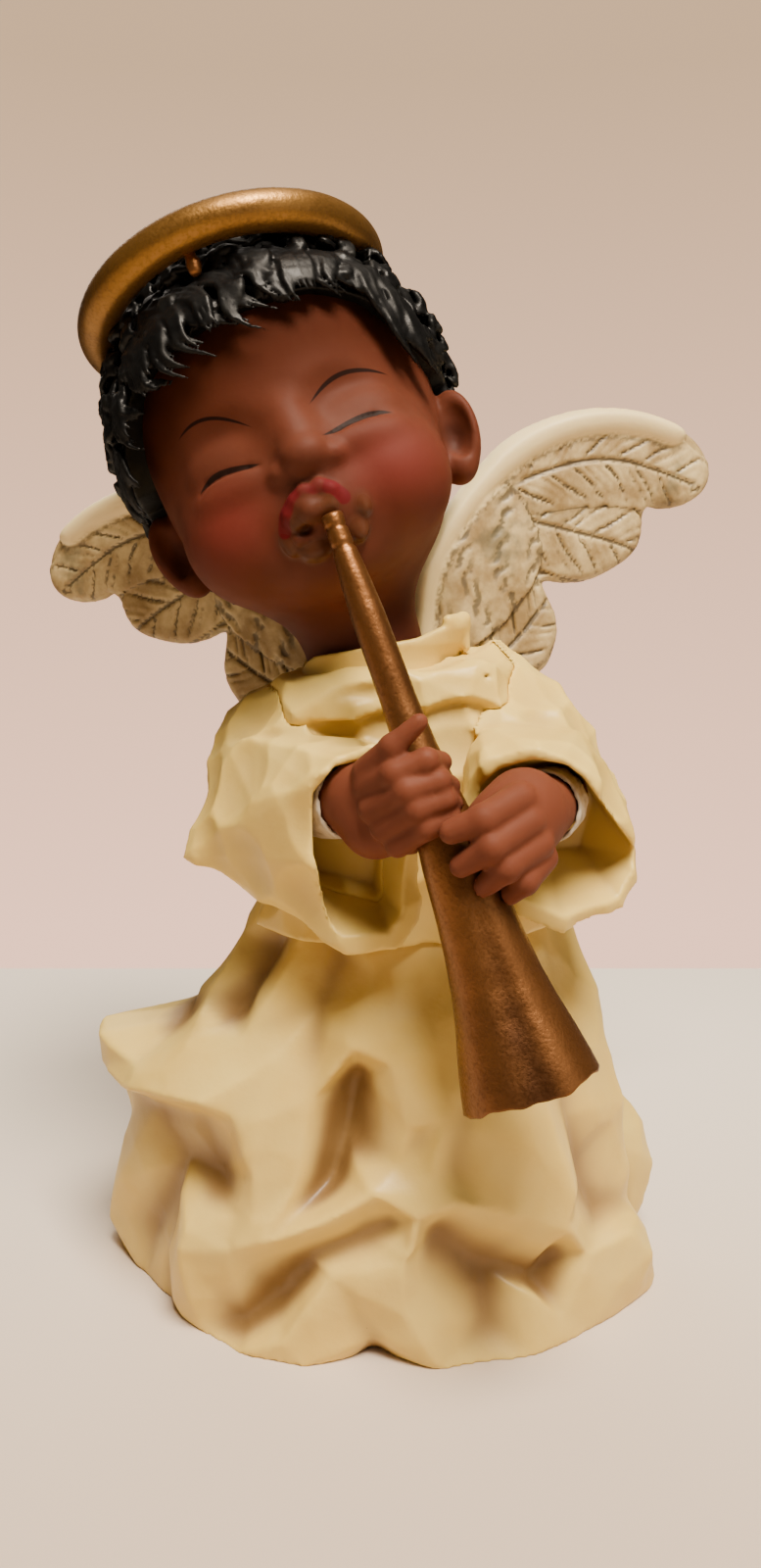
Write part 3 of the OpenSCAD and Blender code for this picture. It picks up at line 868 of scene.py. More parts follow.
def wing_paint(name):
    """Cream paint with an olive-brown wash rubbed into the feathers."""
    p = Paint(name)
    feather = p.mark("feather")
    patch = p.noise(150, 4, 0.65)
    smear = p.noise(420, 4, 0.7)
    shaded = p.math("MULTIPLY", feather, p.span(patch, 0.25, 0.7, 0.35, 1.0))
    colour = p.mix(p.math("MULTIPLY", shaded, 0.95), WING_CREAM, WING_WASH)
    deep = p.math("ADD", p.mark("groove"), p.math("MULTIPLY_ADD", smear, 0.7, -0.38))
    lined = p.math("MULTIPLY", p.span(deep, 0.15, 0.75), p.math("MULTIPLY", feather, 0.8))
    colour = p.mix(lined, colour, WING_LINE)
    smudge = p.math("MULTIPLY", p.span(p.noise(95, 4, 0.7), 0.56, 0.72), feather)
    colour = p.mix(p.math("MULTIPLY", smudge, 0.6), colour, WING_SMUDGE)
    return p.finish(Base_Color=colour, Roughness=p.span(patch, 0.2, 0.8, 0.42, 0.6),
                    Subsurface_Weight=0.08, Subsurface_Radius=(1.0, 0.7, 0.4), Subsurface_Scale=0.002,
                    Normal=p.bump(smear, 0.0002, 0.4))


def plain_paint(name, colour, dark, scale, roughness, grain):
    """A simple two-tone finish with a grain, for felt, bare resin and the cuffs' worn white."""
    p = Paint(name)
    mottle = p.noise(scale, 4, 0.65)
    return p.finish(Base_Color=p.mix(p.span(mottle, 0.3, 0.7), colour, dark),
                    Roughness=p.span(mottle, 0.2, 0.8, roughness - 0.06, roughness + 0.04),
                    Normal=p.bump(p.noise(scale * 4, 3, 0.6), grain, 0.6))


# ---------------------------------------------------------------- head

HEAD_TURN = turned(-12, -22.5, -4.5)
HEAD_AT = (-12, 3, 120.5)
NECK_LOW = (-1.5, 1, 88.2)
NECK_HIGH = (-7, 3, 108)

# Face features in the head's own frame, (x, z) in mm.
CHEEK_PAINT = [(-9.6, -14.0), (12.2, -14.6)]
CHEEK_WIDTH = 8.0
CHEEK_HEIGHT = 6.8
# Eyes: x and the slant of the lid in radians. Brows and lashes: places and half-width.
EYES = [(-7.4, -0.25), (10.4, 0.42)]
BROWS = [
    ([(-11.9, -0.1), (-9.3, 0.3), (-6.3, -0.6), (-4.1, -2.0), (-2.3, -3.8)], 0.22),
    ([(5.4, -3.9), (6.6, -2.7), (9.0, -1.5), (11.4, -1.1), (13.1, -1.3), (15.3, -2.1)], 0.26),
]
LASHES = [
    ([(-11.6, -8.2), (-10.2, -7.4), (-6.9, -7.6), (-4.3, -8.1), (-3.0, -8.6)], 0.36),
    ([(5.6, -8.6), (7.8, -8.0), (10.1, -7.6), (12.4, -7.4), (14.2, -7.9)], 0.36),
]
# Lips and the gap between them: (x, z, how far each place stands out). Glue: (x, z, radii).
UPPER_LIP = [(-3.0, -17.2, -0.5), (-2.0, -15.7, -0.1), (-0.5, -14.6, 0.1), (1.0, -14.1, 0.2),
             (2.0, -14.5, 0.1), (3.0, -14.2, 0.2), (4.2, -15.0, -0.1), (5.0, -16.2, -0.5)]
LOWER_LIP = [(-2.8, -17.9, -0.5), (-1.9, -18.7, -0.1), (-0.6, -19.1, -0.1)]
LIP_GAP = [(-1.2, -16.9, -0.4), (0.8, -16.3, -0.2), (3.2, -16.4, -0.4)]
GLUE_BLOBS = [(-0.4, -20.4, (2.0, 1.0, 1.3)), (5.2, -19.8, (1.3, 0.9, 1.9)),
              (-3.2, -18.4, (0.9, 0.8, 1.9)), (6.9, -17.6, (0.8, 0.8, 1.4))]


def in_head(point):
    """A world place in mm, in the head's own frame."""
    return HEAD_TURN.T @ (np.asarray(point, float) - HEAD_AT)


def head():
    """Round-cheeked head with closed eyes, a broad nose, pursed lips, ears and neck."""
    clay = Clay((-26, -28, -37), (26, 23.5, 27.5), 0.34)
    clay.add(egg((0, 1, 4), (20.5, 21.0, 22)))
    clay.add(egg((0, -1.5, -9), (18.2, 18.2, 16.8)), 6)
    for side in (-1, 1):
        clay.add(egg((0.8 + side * 10.0, -10.5, -14.0), (7.6, 7.4, 7.4)), 5)
    clay.add(egg((0.8, -12.0, -20.5), (6.0, 4.6, 4.4)), 5)
    clay.add(limb(in_head(NECK_LOW) - (0, 0, 4), in_head(NECK_HIGH), 8.1, 8.6), 5)
    clay.cut(slab(in_head(NECK_LOW), HEAD_TURN.T @ (0, 0, 1), 14))

    def front(x, z, out=0.0):
        """The place on the front of the clay at (x, z), moved out towards the viewer."""
        i, k = (int(round((v - clay.low[a]) / clay.step)) for v, a in ((x, 0), (z, 2)))
        column = clay.field[i, :, k]
        j = int(np.argmax(column < 0))
        share = column[j - 1] / (column[j - 1] - column[j])
        return np.array((x, clay.low[1] + (j - 1 + share) * clay.step - out, z))

    # eyes: a shallow socket, the round lid in it and the crease below the lid
    eyes = [(x, turned(z=math.degrees(lean)).T) for x, lean in EYES]
    for x, turn in eyes:
        clay.cut(egg(front(x, -3.9, 2.3), (6.0, 3.0, 3.3), turn), 2.4)
    for x, turn in eyes:
        clay.add(egg(front(x, -5.8, -1.9), (5.0, 2.6, 2.8), turn), 1.6)
        clay.add(egg(front(x, -9.8, -1.5), (4.6, 1.9, 1.5), turn), 2.0)
    for places, _ in LASHES:
        lid_edge = [front(px, pz - 0.15) for px, pz in places]
        run_of(clay, lid_edge, (0.2, 0.32, 0.36, 0.32, 0.2), 0.35, carve=True)

    # nose
    clay.add(limb(front(1.9, -4.0, -1.2), front(2.5, -9.4, -0.2), 1.6, 2.3), 3.0)
    clay.add(egg(front(2.6, -10.1, -1.3), (2.7, 2.2, 2.0)), 1.4)
    for nostril in (front(-1.0, -10.8, -0.8), front(6.0, -10.9, -0.8)):
        clay.add(egg(nostril, (1.6, 1.6, 1.3)), 0.9)

    # mouth: a pushed-out muzzle, both lips and the opening the mouthpiece sits in
    clay.add(egg(front(2.0, -15.6, -2.3), (6.0, 3.8, 4.0)), 3.0)
    upper, lower, gap = ([front(*at) for at in places] for places in (UPPER_LIP, LOWER_LIP, LIP_GAP))
    opening = egg(front(-0.6, -18.1, -0.1), (1.1, 0.9, 0.4))
    run_of(clay, upper, (0.45, 0.75, 0.9, 1.0, 0.9, 1.0, 0.8, 0.45), 0.4)
    run_of(clay, lower, (0.4, 0.7, 0.5), 0.4)
    run_of(clay, gap, (1.0, 1.4, 1.0), 1.0)
    clay.cut(opening, 0.4)
    down = unit(HORN_BELL - HORN_MOUTH)
    clay.cut(limb(in_head(HORN_MOUTH + 1.2 * down), in_head(HORN_MOUTH + 9 * down), 1.5), 0.2)
    glue = [egg(front(x, z, -0.4), radii) for x, z, radii in GLUE_BLOBS]
    for blob in glue:
        clay.add(blob, 0.7)

    # ears: a cupped disc, its bowl, the hollow in the bowl and the lobe
    for side in (-1, 1):
        turn = turned(y=side * 10, z=side * -32).T
        clay.add(egg((side * 20.8, -0.3, -8.6), (3.7, 2.0, 6.2), turn), 0.9)
        clay.add(egg((side * 19.8, -0.8, -13.0), (2.3, 1.7, 2.4), turn), 1.0)
        clay.cut(egg((side * 21.3, -2.7, -8.3), (2.1, 1.5, 4.0), turn), 0.8)
        clay.cut(egg((side * 20.4, -2.4, -9.0), (1.3, 1.7, 2.1), turn), 0.6)
    points, faces = clay.mesh(0.45, rounds=2)
    lips = np.max([nearness(limb(a, b, 0.85), points, 0.45) for a, b in zip(upper, upper[1:])], axis=0)
    # Painted shade: the dark mark darkens the ear bowls and the mouth opening.
    bowls = [egg((side * 20.5, -2.2, -9.0), (1.0, 1.8, 1.9)) for side in (-1, 1)]
    dark = [0.6 * nearness(b, points, 1.2) for b in bowls] + [0.25 * nearness(opening, points, 0.3)]
    glue += [limb(a, b, 1.0) for a, b in zip(gap, gap[1:])]
    glossy = np.max([nearness(b, points, 0.9) for b in glue], axis=0)
    hollow = hollowness(points, faces, 30)
    make_piece("head_cast", points, faces, face_paint(), "head",
               {"hollow": hollow, "lips": lips, "dark": np.max(dark, axis=0), "glue": glossy},
               placed(HEAD_TURN, HEAD_AT))


# ---------------------------------------------------------------- hair

HAIRLINE = [(0, 8.5), (30, 8.5), (48, 6.5), (63, 2.5), (78, -1.5), (94, -3.0), (108, -12.5), (126, -16.5),
            (180, -17.5)]
SCALP = np.array((23.0, 22.6, 27.2))
SCALP_MIDDLE = np.array((-0.6, 0.8, 1.8))
CURLS = 1300
CURL_STEPS = 6

# Forelocks: (x, z) of root and tip on the front of the head, and how far the tip curls to the right.
FORELOCKS = [(-1.5, 15.5, 5.2, 5.6, 0.9), (-5.0, 15.0, 2.6, 5.2, 0.8), (-8.5, 14.5, -2.2, 5.0, 0.7),
             (-11.5, 14.0, -5.4, 4.4, 0.8), (-14.0, 13.0, -8.6, 4.2, 0.7), (-16.0, 11.0, -11.4, 3.4, 0.7),
             (-17.5, 9.0, -14.2, 2.6, 0.5), (-19.0, 7.5, -16.8, 0.6, 0.4), (-20.3, 4.0, -18.2, -3.6, 0.3),
             (-21.2, 2.0, -19.8, -6.0, 0.2), (1.5, 17.5, 6.0, 11.0, 0.6), (4.5, 17.0, 8.4, 9.0, 0.7),
             (7.0, 16.0, 10.2, 6.4, 0.5), (9.5, 15.5, 12.6, 6.2, 0.4), (12.0, 14.5, 15.0, 7.6, 0.5),
             (13.8, 13.0, 16.8, 4.2, 0.4), (15.8, 11.0, 18.0, 1.0, 0.3), (17.6, 8.5, 19.6, -2.4, 0.2),
             (19.0, 6.0, 21.3, -3.0, 0.2)]


def on_scalp(point, height):
    """Moves a point to a height above the scalp."""
    v = point - SCALP_MIDDLE
    return SCALP_MIDDLE + v * (1 / np.linalg.norm(v / SCALP) + height / np.linalg.norm(v))


def lock(clay, path, width, strands):
    """One wavy lock: a few tapering strands of unequal length, side by side along a path."""
    n = len(path)
    for s in range(strands):
        off = (s - (strands - 1) / 2) * width
        last = n - int(RNG.integers(0, 3)) if strands > 1 else n
        places, sizes = [], []
        for k, point in enumerate(path[:last]):
            ahead = path[min(k + 1, n - 1)] - path[max(k - 1, 0)]
            side = unit(np.cross(ahead, point - SCALP_MIDDLE))
            share = k / (last - 1)
            places.append(point + side * off * (1 - 0.35 * share))
            sizes.append(width * (0.50 + 0.14 * math.sin(math.pi * share)) * (1 - 0.62 * share ** 3))
        run_of(clay, places, sizes, 0.08)


def hair():
    """Short glossy black curls all over the scalp, with ragged tips over the forehead."""
    clay = Clay((-27.5, -26.5, -21), (26.5, 26, 31), 0.34)
    x, y, z = clay.whole()
    shell = egg(SCALP_MIDDLE, SCALP)[2](x, y, z)
    round_from_front = np.degrees(np.arctan2(np.abs(x), -(y - 1)))
    edge = read(HAIRLINE, round_from_front) + np.where(round_from_front < 90, 1.6, 0)
    clay.field = np.maximum(shell, (edge - z) * 0.8 + 0 * shell).astype(np.float32)
    for side in (-1, 1):
        clay.cut(egg((side * 22.5, -3.5, -9.5), (4.5, 7.5, 8.0)), 1.0)
    scalp_curls(clay)
    fringe(clay)
    points, faces = clay.mesh(0.25, one_lump=True)
    make_piece("hair_cast", to_world(points, HEAD_TURN, HEAD_AT), faces, hair_paint(), "hair",
               {"hollow": hollowness(points, faces, 12)})


def scalp_curls(clay):
    """Hooked and S-shaped locks, spread evenly over the scalp down to the hairline."""
    golden = math.pi * (3 - math.sqrt(5))
    for i in range(CURLS):
        up = 1 - 2 * (i + 0.5) / CURLS
        around = i * golden + RNG.normal(0, 0.05)
        flat = math.sqrt(1 - up * up)
        root = on_scalp(SCALP_MIDDLE + SCALP * (flat * math.cos(around), flat * math.sin(around), up), 0.2)
        turn = math.degrees(math.atan2(abs(root[0]), -(root[1] - 1)))
        above = root[2] - read(HAIRLINE, turn)
        if above < (2.6 if turn < 85 else 3.6):
            continue
        outward = unit(root - SCALP_MIDDLE)
        away = root - np.array((0, 9, 26))
        down = unit(away - outward * away.dot(outward))
        side = np.cross(outward, down)
        heading = RNG.normal(0, 0.9)
        bend = RNG.choice((-1, 1)) * RNG.uniform(1.2, 2.8)
        length = RNG.uniform(3.6, 6.4) * (0.7 if above < 4.5 and turn < 85 else 1)
        lift = RNG.uniform(0.3, 1.9)
        hooked = RNG.random() < 0.6
        path, point = [], root
        for k in range(CURL_STEPS + 1):
            share = k / CURL_STEPS
            path.append(on_scalp(point, 0.1 + lift * math.sin(math.pi * min(1, share * 0.85 + 0.1))))
            angle = heading + bend * (share if hooked else math.sin(share * 2 * math.pi * 0.75))
            point = point + (down * math.cos(angle) + side * math.sin(angle)) * length / CURL_STEPS
        lock(clay, path, RNG.uniform(0.72, 1.0), int(RNG.integers(2, 4)))


def fringe(clay):
    """Pairs of pointed forelocks that hang over the forehead and temples."""
    for root_x, root_z, tip_x, tip_z, curl in FORELOCKS:
        for twin in (0, 1):
            path = []
            slip = RNG.uniform(-1.3, 1.3)
            stray = RNG.uniform(-1.6, 1.6)
            cut_back = RNG.uniform(0.0, 2.2) * twin
            for share in np.linspace(0, 1, 9):
                sway = curl * 1.6 * math.sin(math.pi * 2 * share + twin)
                px = root_x + slip + (tip_x + stray - root_x) * share + sway
                pz = root_z + (tip_z + cut_back - root_z) * share
                v = (px / SCALP[0], (pz - SCALP_MIDDLE[2]) / SCALP[2])
                py = SCALP_MIDDLE[1] - SCALP[1] * math.sqrt(max(0.02, 1 - v[0] ** 2 - v[1] ** 2))
                rise = 0.3 + (1.5 - 0.5 * twin) * math.sin(math.pi * (0.15 + 0.7 * share))
                path.append(on_scalp(np.array((px, py, pz)), rise))
            lock(clay, path, RNG.uniform(0.8, 1.0), 3)



# ---------------------------------------------------------------- halo

HALO_TURN = turned(-16, -20, 0)
HALO_AT = (-20.2, 5, 139)
HALO_R = 19.0
HALO_TUBE = 2.6
STUB_R = HALO_R - 1.6
STUB_ANGLES = (30, 150, 262)


def halo():
    """Thick gilt ring, slightly uneven as if modelled by hand."""
    rings, sides = 220, 44
    points = []
    for i in range(rings):
        a = 2 * math.pi * i / rings
        tube = HALO_TUBE * (1 + 0.03 * math.sin(2 * a + 1) + 0.015 * math.sin(5 * a))
        drift = 0.22 * math.sin(3 * a + 0.6)
        for j in range(sides):
            b = 2 * math.pi * j / sides
            r = HALO_R + tube * math.cos(b) + 0.1 * math.sin(4 * a)
            points.append((r * math.cos(a), r * math.sin(a), tube * math.sin(b) + drift))
    points = to_world(np.array(points), HALO_TURN, HALO_AT)
    faces = grid_faces(rings, sides, wrap_rows=True)[:, ::-1]
    gilt = gilt_paint("halo_gilt", HALO_BRIGHT, HALO_DULL)
    make_piece("halo_cast", points, faces, gilt, "halo", {"hollow": np.zeros(len(points))})


def halo_pins():
    """Three short gilt stubs that hold the ring to the hair."""
    clay = Clay((-21, -21, -6), (21, 21, 0.5), 0.26)
    for angle in STUB_ANGLES:
        x, y = (STUB_R * turn(math.radians(angle)) for turn in (math.cos, math.sin))
        clay.add(limb((x, y, -4.0), (x, y, -1.9), 0.86, 0.74))
        clay.add(egg((x + 0.15, y, -3.2), (0.95, 0.9, 0.7)), 0.4)
    points, faces = clay.mesh(0.4)
    hollow = hollowness(points, faces, 6)
    points = to_world(points, HALO_TURN, HALO_AT)
    make_piece("halo_stubs", points, faces, gilt_paint("stub_gilt"), "halo_pins",
               {"hollow": hollow})


# ---------------------------------------------------------------- horn

HORN_MOUTH = np.array((-5.9, -21, 109.3))
HORN_BELL = np.array((18.6, -36, 42.9))
HORN_LENGTH = float(np.linalg.norm(HORN_BELL - HORN_MOUTH))
HORN_STEP = 0.35
# Where the flare and the ragged rim begin, and the tiny radius that closes both ends, mm.
FLARE_START = 44
RIM_START = 66
PINCH = 0.02

# Radius of the horn down its length: (distance from the mouthpiece, radius).
HORN_OUTSIDE = [(0, 1.22), (0.25, 1.36), (1.5, 1.34), (1.8, 1.1), (2.1, 1.36), (4.0, 1.4), (4.3, 1.14),
                (4.65, 1.5), (8, 1.8), (13, 2.08), (24, 2.2), (30, 2.55), (36, 3.2), (44, 4.25), (50, 4.6),
                (54, 4.95), (59, 5.6), (62.7, 6.35), (66.4, 7.3), (70.0, 8.1), (72.3, 8.5)]
HORN_INSIDE = [(72.3, 8.15), (70, 7.6), (66.4, 6.7), (62.7, 5.7), (59.5, 4.6), (57.5, 3.0), (56.5, 1.0)]


def horn():
    """Long horn: ring grooves by the mouthpiece, a furrow down the flare and a ragged, hollow bell."""
    side, down, toward = axes_from(HORN_BELL - HORN_MOUTH, (0, -1, 0))
    far = np.arange(0, HORN_LENGTH, HORN_STEP)
    rings = [(0.0, PINCH, 0)] + [(t, float(read(HORN_OUTSIDE, t)), 0) for t in far]
    rings.append((HORN_LENGTH, HORN_OUTSIDE[-1][1], 0))
    for (t0, r0), (t1, r1) in zip(HORN_INSIDE, HORN_INSIDE[1:]):
        rings += [(t0 + (t1 - t0) * s, r0 + (r1 - r0) * s, 1) for s in np.linspace(0, 1, 8)[:-1]]
    rings.append((56.4, PINCH, 1))
    count = 144
    points, hollow = [], []
    for t, r, within in rings:
        flare = max(0.0, (t - FLARE_START) / (HORN_LENGTH - FLARE_START))
        for i in range(count):
            a = 2 * math.pi * i / count
            from_furrow = (a - 0.5 * math.pi - 0.15 + math.pi) % (2 * math.pi) - math.pi
            furrow = math.exp(-(from_furrow / 0.3) ** 2)
            wave = 0.10 * math.sin(3 * a + 0.1 * t) + 0.06 * math.sin(7 * a + 1.3)
            ragged = 0.30 * math.sin(4 * a + 0.4) + 0.12 * math.sin(9 * a + 2) + 0.07 * math.sin(19 * a)
            edge = max(0.0, (t - RIM_START) / (HORN_LENGTH - RIM_START)) ** 2
            radius = max(PINCH, r + flare * (wave - (0.9 * furrow if r > 0.5 else 0)) * min(1, r / 3))
            along = t + edge * (ragged - 0.25)
            centre = HORN_MOUTH + down * along + side * 0.8 * flare
            points.append(centre + radius * (math.cos(a) * side + math.sin(a) * toward))
            # Painted shade: the furrow and the inside of the bell are marked hollow, so the gilt is darker
            # there.
            hollow.append(0.35 * furrow * flare + (0.3 if within else 0))
    faces = grid_faces(len(rings), count)
    make_piece("horn_cast", np.array(points), faces, gilt_paint("horn_gilt"), "horn",
               {"hollow": hollow})


# ---------------------------------------------------------------- robe

ROBE_HEM = 54.2
# Radius of the room for the torso inside the robe, over height.
CORE_R = [(54, 12.7), (70, 12.7), (70.2, 12.7), (88.3, 9.6)]
ROBE_CRUMPLE = 1.25
# The sleeves part from the robe this far outside the bare trunk, with this gap between them, mm.
SEAM_DEPTH = 0.35
SEAM_GAP = 0.03
NECK_R = 10.0
NECK_FROM = 86


def trunk():
    """The body of the robe: a flat-faceted bodice under a yoke that hangs a little over it."""
    bodice = hull((-16.5, -8, 54.2), (-10, -16, 54.2), (3, -18.2, 54.2), (16, -16, 54.2), (24, -7, 54.2),
                  (24, 7, 54.2), (16, 14, 54.2), (2, 17, 54.2), (-10, 14, 54.2), (-16.5, 7, 54.2),
                  (-13, -12, 70), (1, -15.8, 68), (15, -14.5, 70), (20, -5, 70), (-14, -2, 72),
                  (-14, 8, 72), (19, 9, 72), (2, 14.5, 72), (-10, -13.6, 84), (2, -14.6, 84.4),
                  (11.4, -14.2, 86), (16.5, -6, 84), (-12.5, -3, 84), (-11, 9, 84), (15, 9, 85),
                  (2, 12.5, 85))
    yoke = hull((-10, -8, 89), (-12.8, -10.5, 86.2), (-14.5, -2, 87.6), (-12, 8, 88), (0, 12, 88.8),
                (10, 10, 91), (16, 0, 92.4), (19, 1, 90.6), (17.6, -8, 89.4), (12.4, -13.2, 90.6),
                (3, -14.8, 89.6), (-6, -15.0, 87.4), (-10.6, -15.2, 84.3), (1.8, -16.2, 84.8),
                (11.4, -15.8, 86.6), (17.4, -11, 85.4), (-14.4, -4, 83.4), (18, 8, 85), (-12.6, 9, 84),
                (2, 13.5, 85))
    return bodice, yoke


RIGHT_ARM = dict(
    upper=hull((-12.5, -9, 87.2), (-14, 0, 87.9), (-18.6, 0, 85.4), (-22.2, 0, 83.6), (-22.7, -2, 80),
               (-24, -4, 76.4), (-23.4, 3, 74), (-20, 6, 80), (-12, 7, 84), (-18, 5, 68), (-12, 6, 66),
               (-16.4, -13, 80.6), (-9, -17.5, 80.4), (-24.2, -8, 71)),
    bell=hull((-22.8, -3, 77), (-24.6, -8, 71), (-26.0, -10, 64.6), (-22, -2, 66), (-17.1, -13, 60.4),
              (-12.3, -17.6, 59.6), (-5.8, -24.2, 57.4), (-4.4, -24.6, 56.2), (1.8, -23.4, 56.2),
              (4.2, -22.4, 59.7), (5.0, -22.4, 65.8), (3.4, -23.5, 75), (1.6, -25.6, 80.6),
              (-0.9, -26.4, 81.6), (-5.2, -27.2, 80.8), (-8.4, -27.2, 77), (-8.6, -26.2, 67.9),
              (-16.0, -19.6, 73.6), (-17.4, -12.6, 81.2), (-8.4, -18, 81.4), (-6, -8, 60), (2, -12, 62),
              (2, -12, 80)),
    hollow=hull((-7.3, -28.4, 68), (-7.1, -29.2, 76.8), (-4.7, -29.2, 80.1), (-1, -28.4, 80.9),
                (1.4, -27.6, 79.6), (3.6, -26.5, 72), (4.2, -26, 65.8), (3.5, -26, 60.2), (1.5, -27, 56.9),
                (-4.2, -28, 56.9), (-4.8, -27.5, 58.6), (-13, -13, 70), (-13, -13, 75), (-11.5, -13.5, 66),
                (-8.5, -13.5, 63.5), (-1, -15.2, 62), (0.5, -15.8, 76), (-10, -15, 77)),
)
LEFT_ARM = dict(
    upper=hull((10.6, -7, 91.4), (16.4, -1, 93.0), (19.9, -1, 91.5), (21.4, -4, 88.0), (25.7, -4, 84.2),
               (29.8, -5, 81.2), (30.4, -7, 78.4), (30.8, -9.5, 73), (28, 3, 80), (26, 5, 74), (20, 8, 84),
               (16, 8, 80), (20, 4, 68), (16, -14, 83), (12, -15.4, 82), (26, -16, 80.6)),
    bell=hull((30.6, -7, 77.5), (31.9, -10, 71.4), (34.6, -14, 66.0), (33.9, -15, 63.8), (32.0, -18, 59.0),
              (25.9, -21, 58.2), (23.1, -22.2, 58.3), (17.2, -24.2, 61.3), (10.4, -24.6, 66),
              (9.2, -24.4, 74), (10.3, -24.8, 77.6), (12.8, -27.2, 80.6), (17.2, -28.2, 82.0),
              (21.8, -28.2, 81.2), (24.9, -27.2, 79.0), (26.3, -25.2, 74.3), (28.4, -22.2, 69.0),
              (13, -15.4, 82.6), (26, -12, 82), (28, -2, 70), (22, -6, 62), (12, -12, 66)),
    hollow=hull((10.9, -28, 67), (10.2, -28, 74), (11.2, -28, 77.2), (13.4, -29.6, 79.8),
                (17.3, -30.4, 81.1), (21.4, -30.4, 80.4), (24.1, -29.4, 78.4), (25.5, -27.4, 74.2),
                (27.9, -24, 68.9), (33.9, -16.6, 66.0), (33.4, -17.6, 63.8), (31.6, -20.5, 59.9),
                (25.7, -24, 59.0), (23.1, -25, 59.1), (17.3, -27.2, 62.1), (28.5, -10.5, 73),
                (27, -10.5, 66), (22, -11.5, 66), (16.5, -15, 72), (18, -14, 77), (25.5, -11, 77.5)),
)

# Hairline creases in the robe: chains of places along the surface.
ROBE_CREASES = [
    [(-21, -9, 80), (-18, -12, 81.6), (-16, -13.5, 82)],
    [(21, -11, 86.8), (24.5, -11, 86.2), (26.5, -9, 84.6)],
    [(14, -16, 87.2), (17, -14, 88.2)],
]


def robe_and_sleeves():
    """Bodice and both wide sleeves, modelled as one crumpled mass and parted along the arms."""
    block = Clay((-28, -31, 53.6), (37, 19, 95), 0.4)
    body = block.copy()
    for part in trunk():
        body.add(part, 0.5)
    x, y, z = body.whole()
    around = np.hypot(x - ROBE_MIDDLE, y)
    core = around - read(CORE_R, z).astype(np.float32)
    neck = np.hypot(x, y - 0.5) - NECK_R
    facets = crumple(block, FACET_SPACING, ROBE_CRUMPLE) - 0.5

    def dent(clay):
        clay.field = clay.field - facets
        clay.cut(hull((12.2, -20, 91.4), (18.2, -17, 89.2), (12.4, -20, 86.6), (13.6, -12.2, 89.2)), 0.6)
        clay.cut(egg((-10.5, -18.4, 84.2), (4.6, 2.6, 2.6)), 1.2)
        clay.cut(egg((4, -20.4, 80.5), (6, 5.0, 3.6)), 1.6)
        clay.cut(egg((-17.5, -13.2, 84.0), (1.6, 2.6, 3.2), turned(y=20).T), 0.8)
        clay.cut(egg((22.5, -14.5, 84.4), (4.2, 3.2, 1.6)), 1.0)
        clay.cut(egg((-2.5, -17.2, 87.4), (5.0, 2.2, 1.5)), 0.8)
        for places in ROBE_CREASES:
            run_of(clay, places, (0.1, 0.3, 0.1), 0.3, carve=True)

    seam = body.field - facets - SEAM_DEPTH
    arms = {"right": RIGHT_ARM, "left": LEFT_ARM}
    sleeves = {}
    for side, arm in arms.items():
        clay = sleeves[side] = block.copy()
        clay.add(arm["upper"])
        clay.add(arm["bell"], 0.5)
        clay.field = smooth_min(clay.field, body.field, 1.0)
        dent(clay)
        clay.cut(arm["hollow"], 0.3)
    dent(body)
    body.field = np.minimum(np.minimum(sleeves["right"].field, sleeves["left"].field), body.field)
    hollows = [arm["hollow"][2](x, y, z) for arm in arms.values()]
    for space in (-seam, np.minimum(*hollows), core, np.where(z > NECK_FROM, neck, EMPTY), z - ROBE_HEM):
        body.field = np.maximum(body.field, -space)
    cloth("robe_cast", body, "robe_top")
    for side, clay in sleeves.items():
        clay.field = np.maximum(clay.field, SEAM_GAP - seam)
        cloth(f"sleeve_{side}_cast", clay, f"sleeve_{side}")


def cloth(name, clay, node):
    """A piece of the robe, with the tan wash and painted shade in both its narrow and its wide hollows."""
    points, faces = clay.mesh(0.35, one_lump=True)
    hollow = 0.8 * hollowness(points, faces, 50) + 0.6 * hollowness(points, faces, 160)
    make_piece(name, points, faces, CREAM_PAINT, node, {"hollow": hollow})


COLLAR_TOP = [(-180, 91.5), (-120, 91.0), (-75, 89.6), (-52, 91.4), (-20, 92.4), (0, 93.2), (25, 94.0),
              (48, 95.6), (66, 96.6), (78, 96.0), (88, 93.0), (120, 91.8), (180, 91.5)]


def collar():
    """Folded standing band round the neck; its right end is a rolled edge."""
    clay = Clay((-15, -15, 87.6), (15, 15, 98), 0.3)
    x, y, z = clay.whole()
    dx, dy = x, y - 0.5
    around = np.degrees(np.arctan2(dx, -dy))
    top = read(COLLAR_TOP, around)
    rise = np.clip((z - 88.2) / 5, 0, 1.4)
    roll = np.exp(-((around - 62) / 20) ** 2)
    bulge = 11.0 + 0.9 * rise ** 2 * roll + 0.35 * np.sin(np.radians(around * 5))
    middle = bulge - 0.8 * np.sin(np.pi * np.clip(rise, 0, 1)) * 0.5
    wall = np.abs(np.hypot(dx, dy) - middle) - 0.62
    clay.field = -smooth_min(-wall, -(z - top) * 0.85, 0.5).astype(np.float32)
    clay.field = np.maximum(clay.field, 88.0 - z + 0 * wall).astype(np.float32)
    clay.add(limb((9.0, -7.2, 96.2), (11.2, -4.6, 96.4), 0.75, 0.8), 0.6)
    clay.add(limb((11.2, -4.6, 96.4), (11.7, -4.2, 92.4), 0.8, 0.6), 0.6)
    points, faces = clay.mesh(0.4)
    make_piece("collar_band", points, faces, CREAM_PAINT, "collar",
               {"hollow": hollowness(points, faces, 40)})


# ---------------------------------------------------------------- hands and cuffs

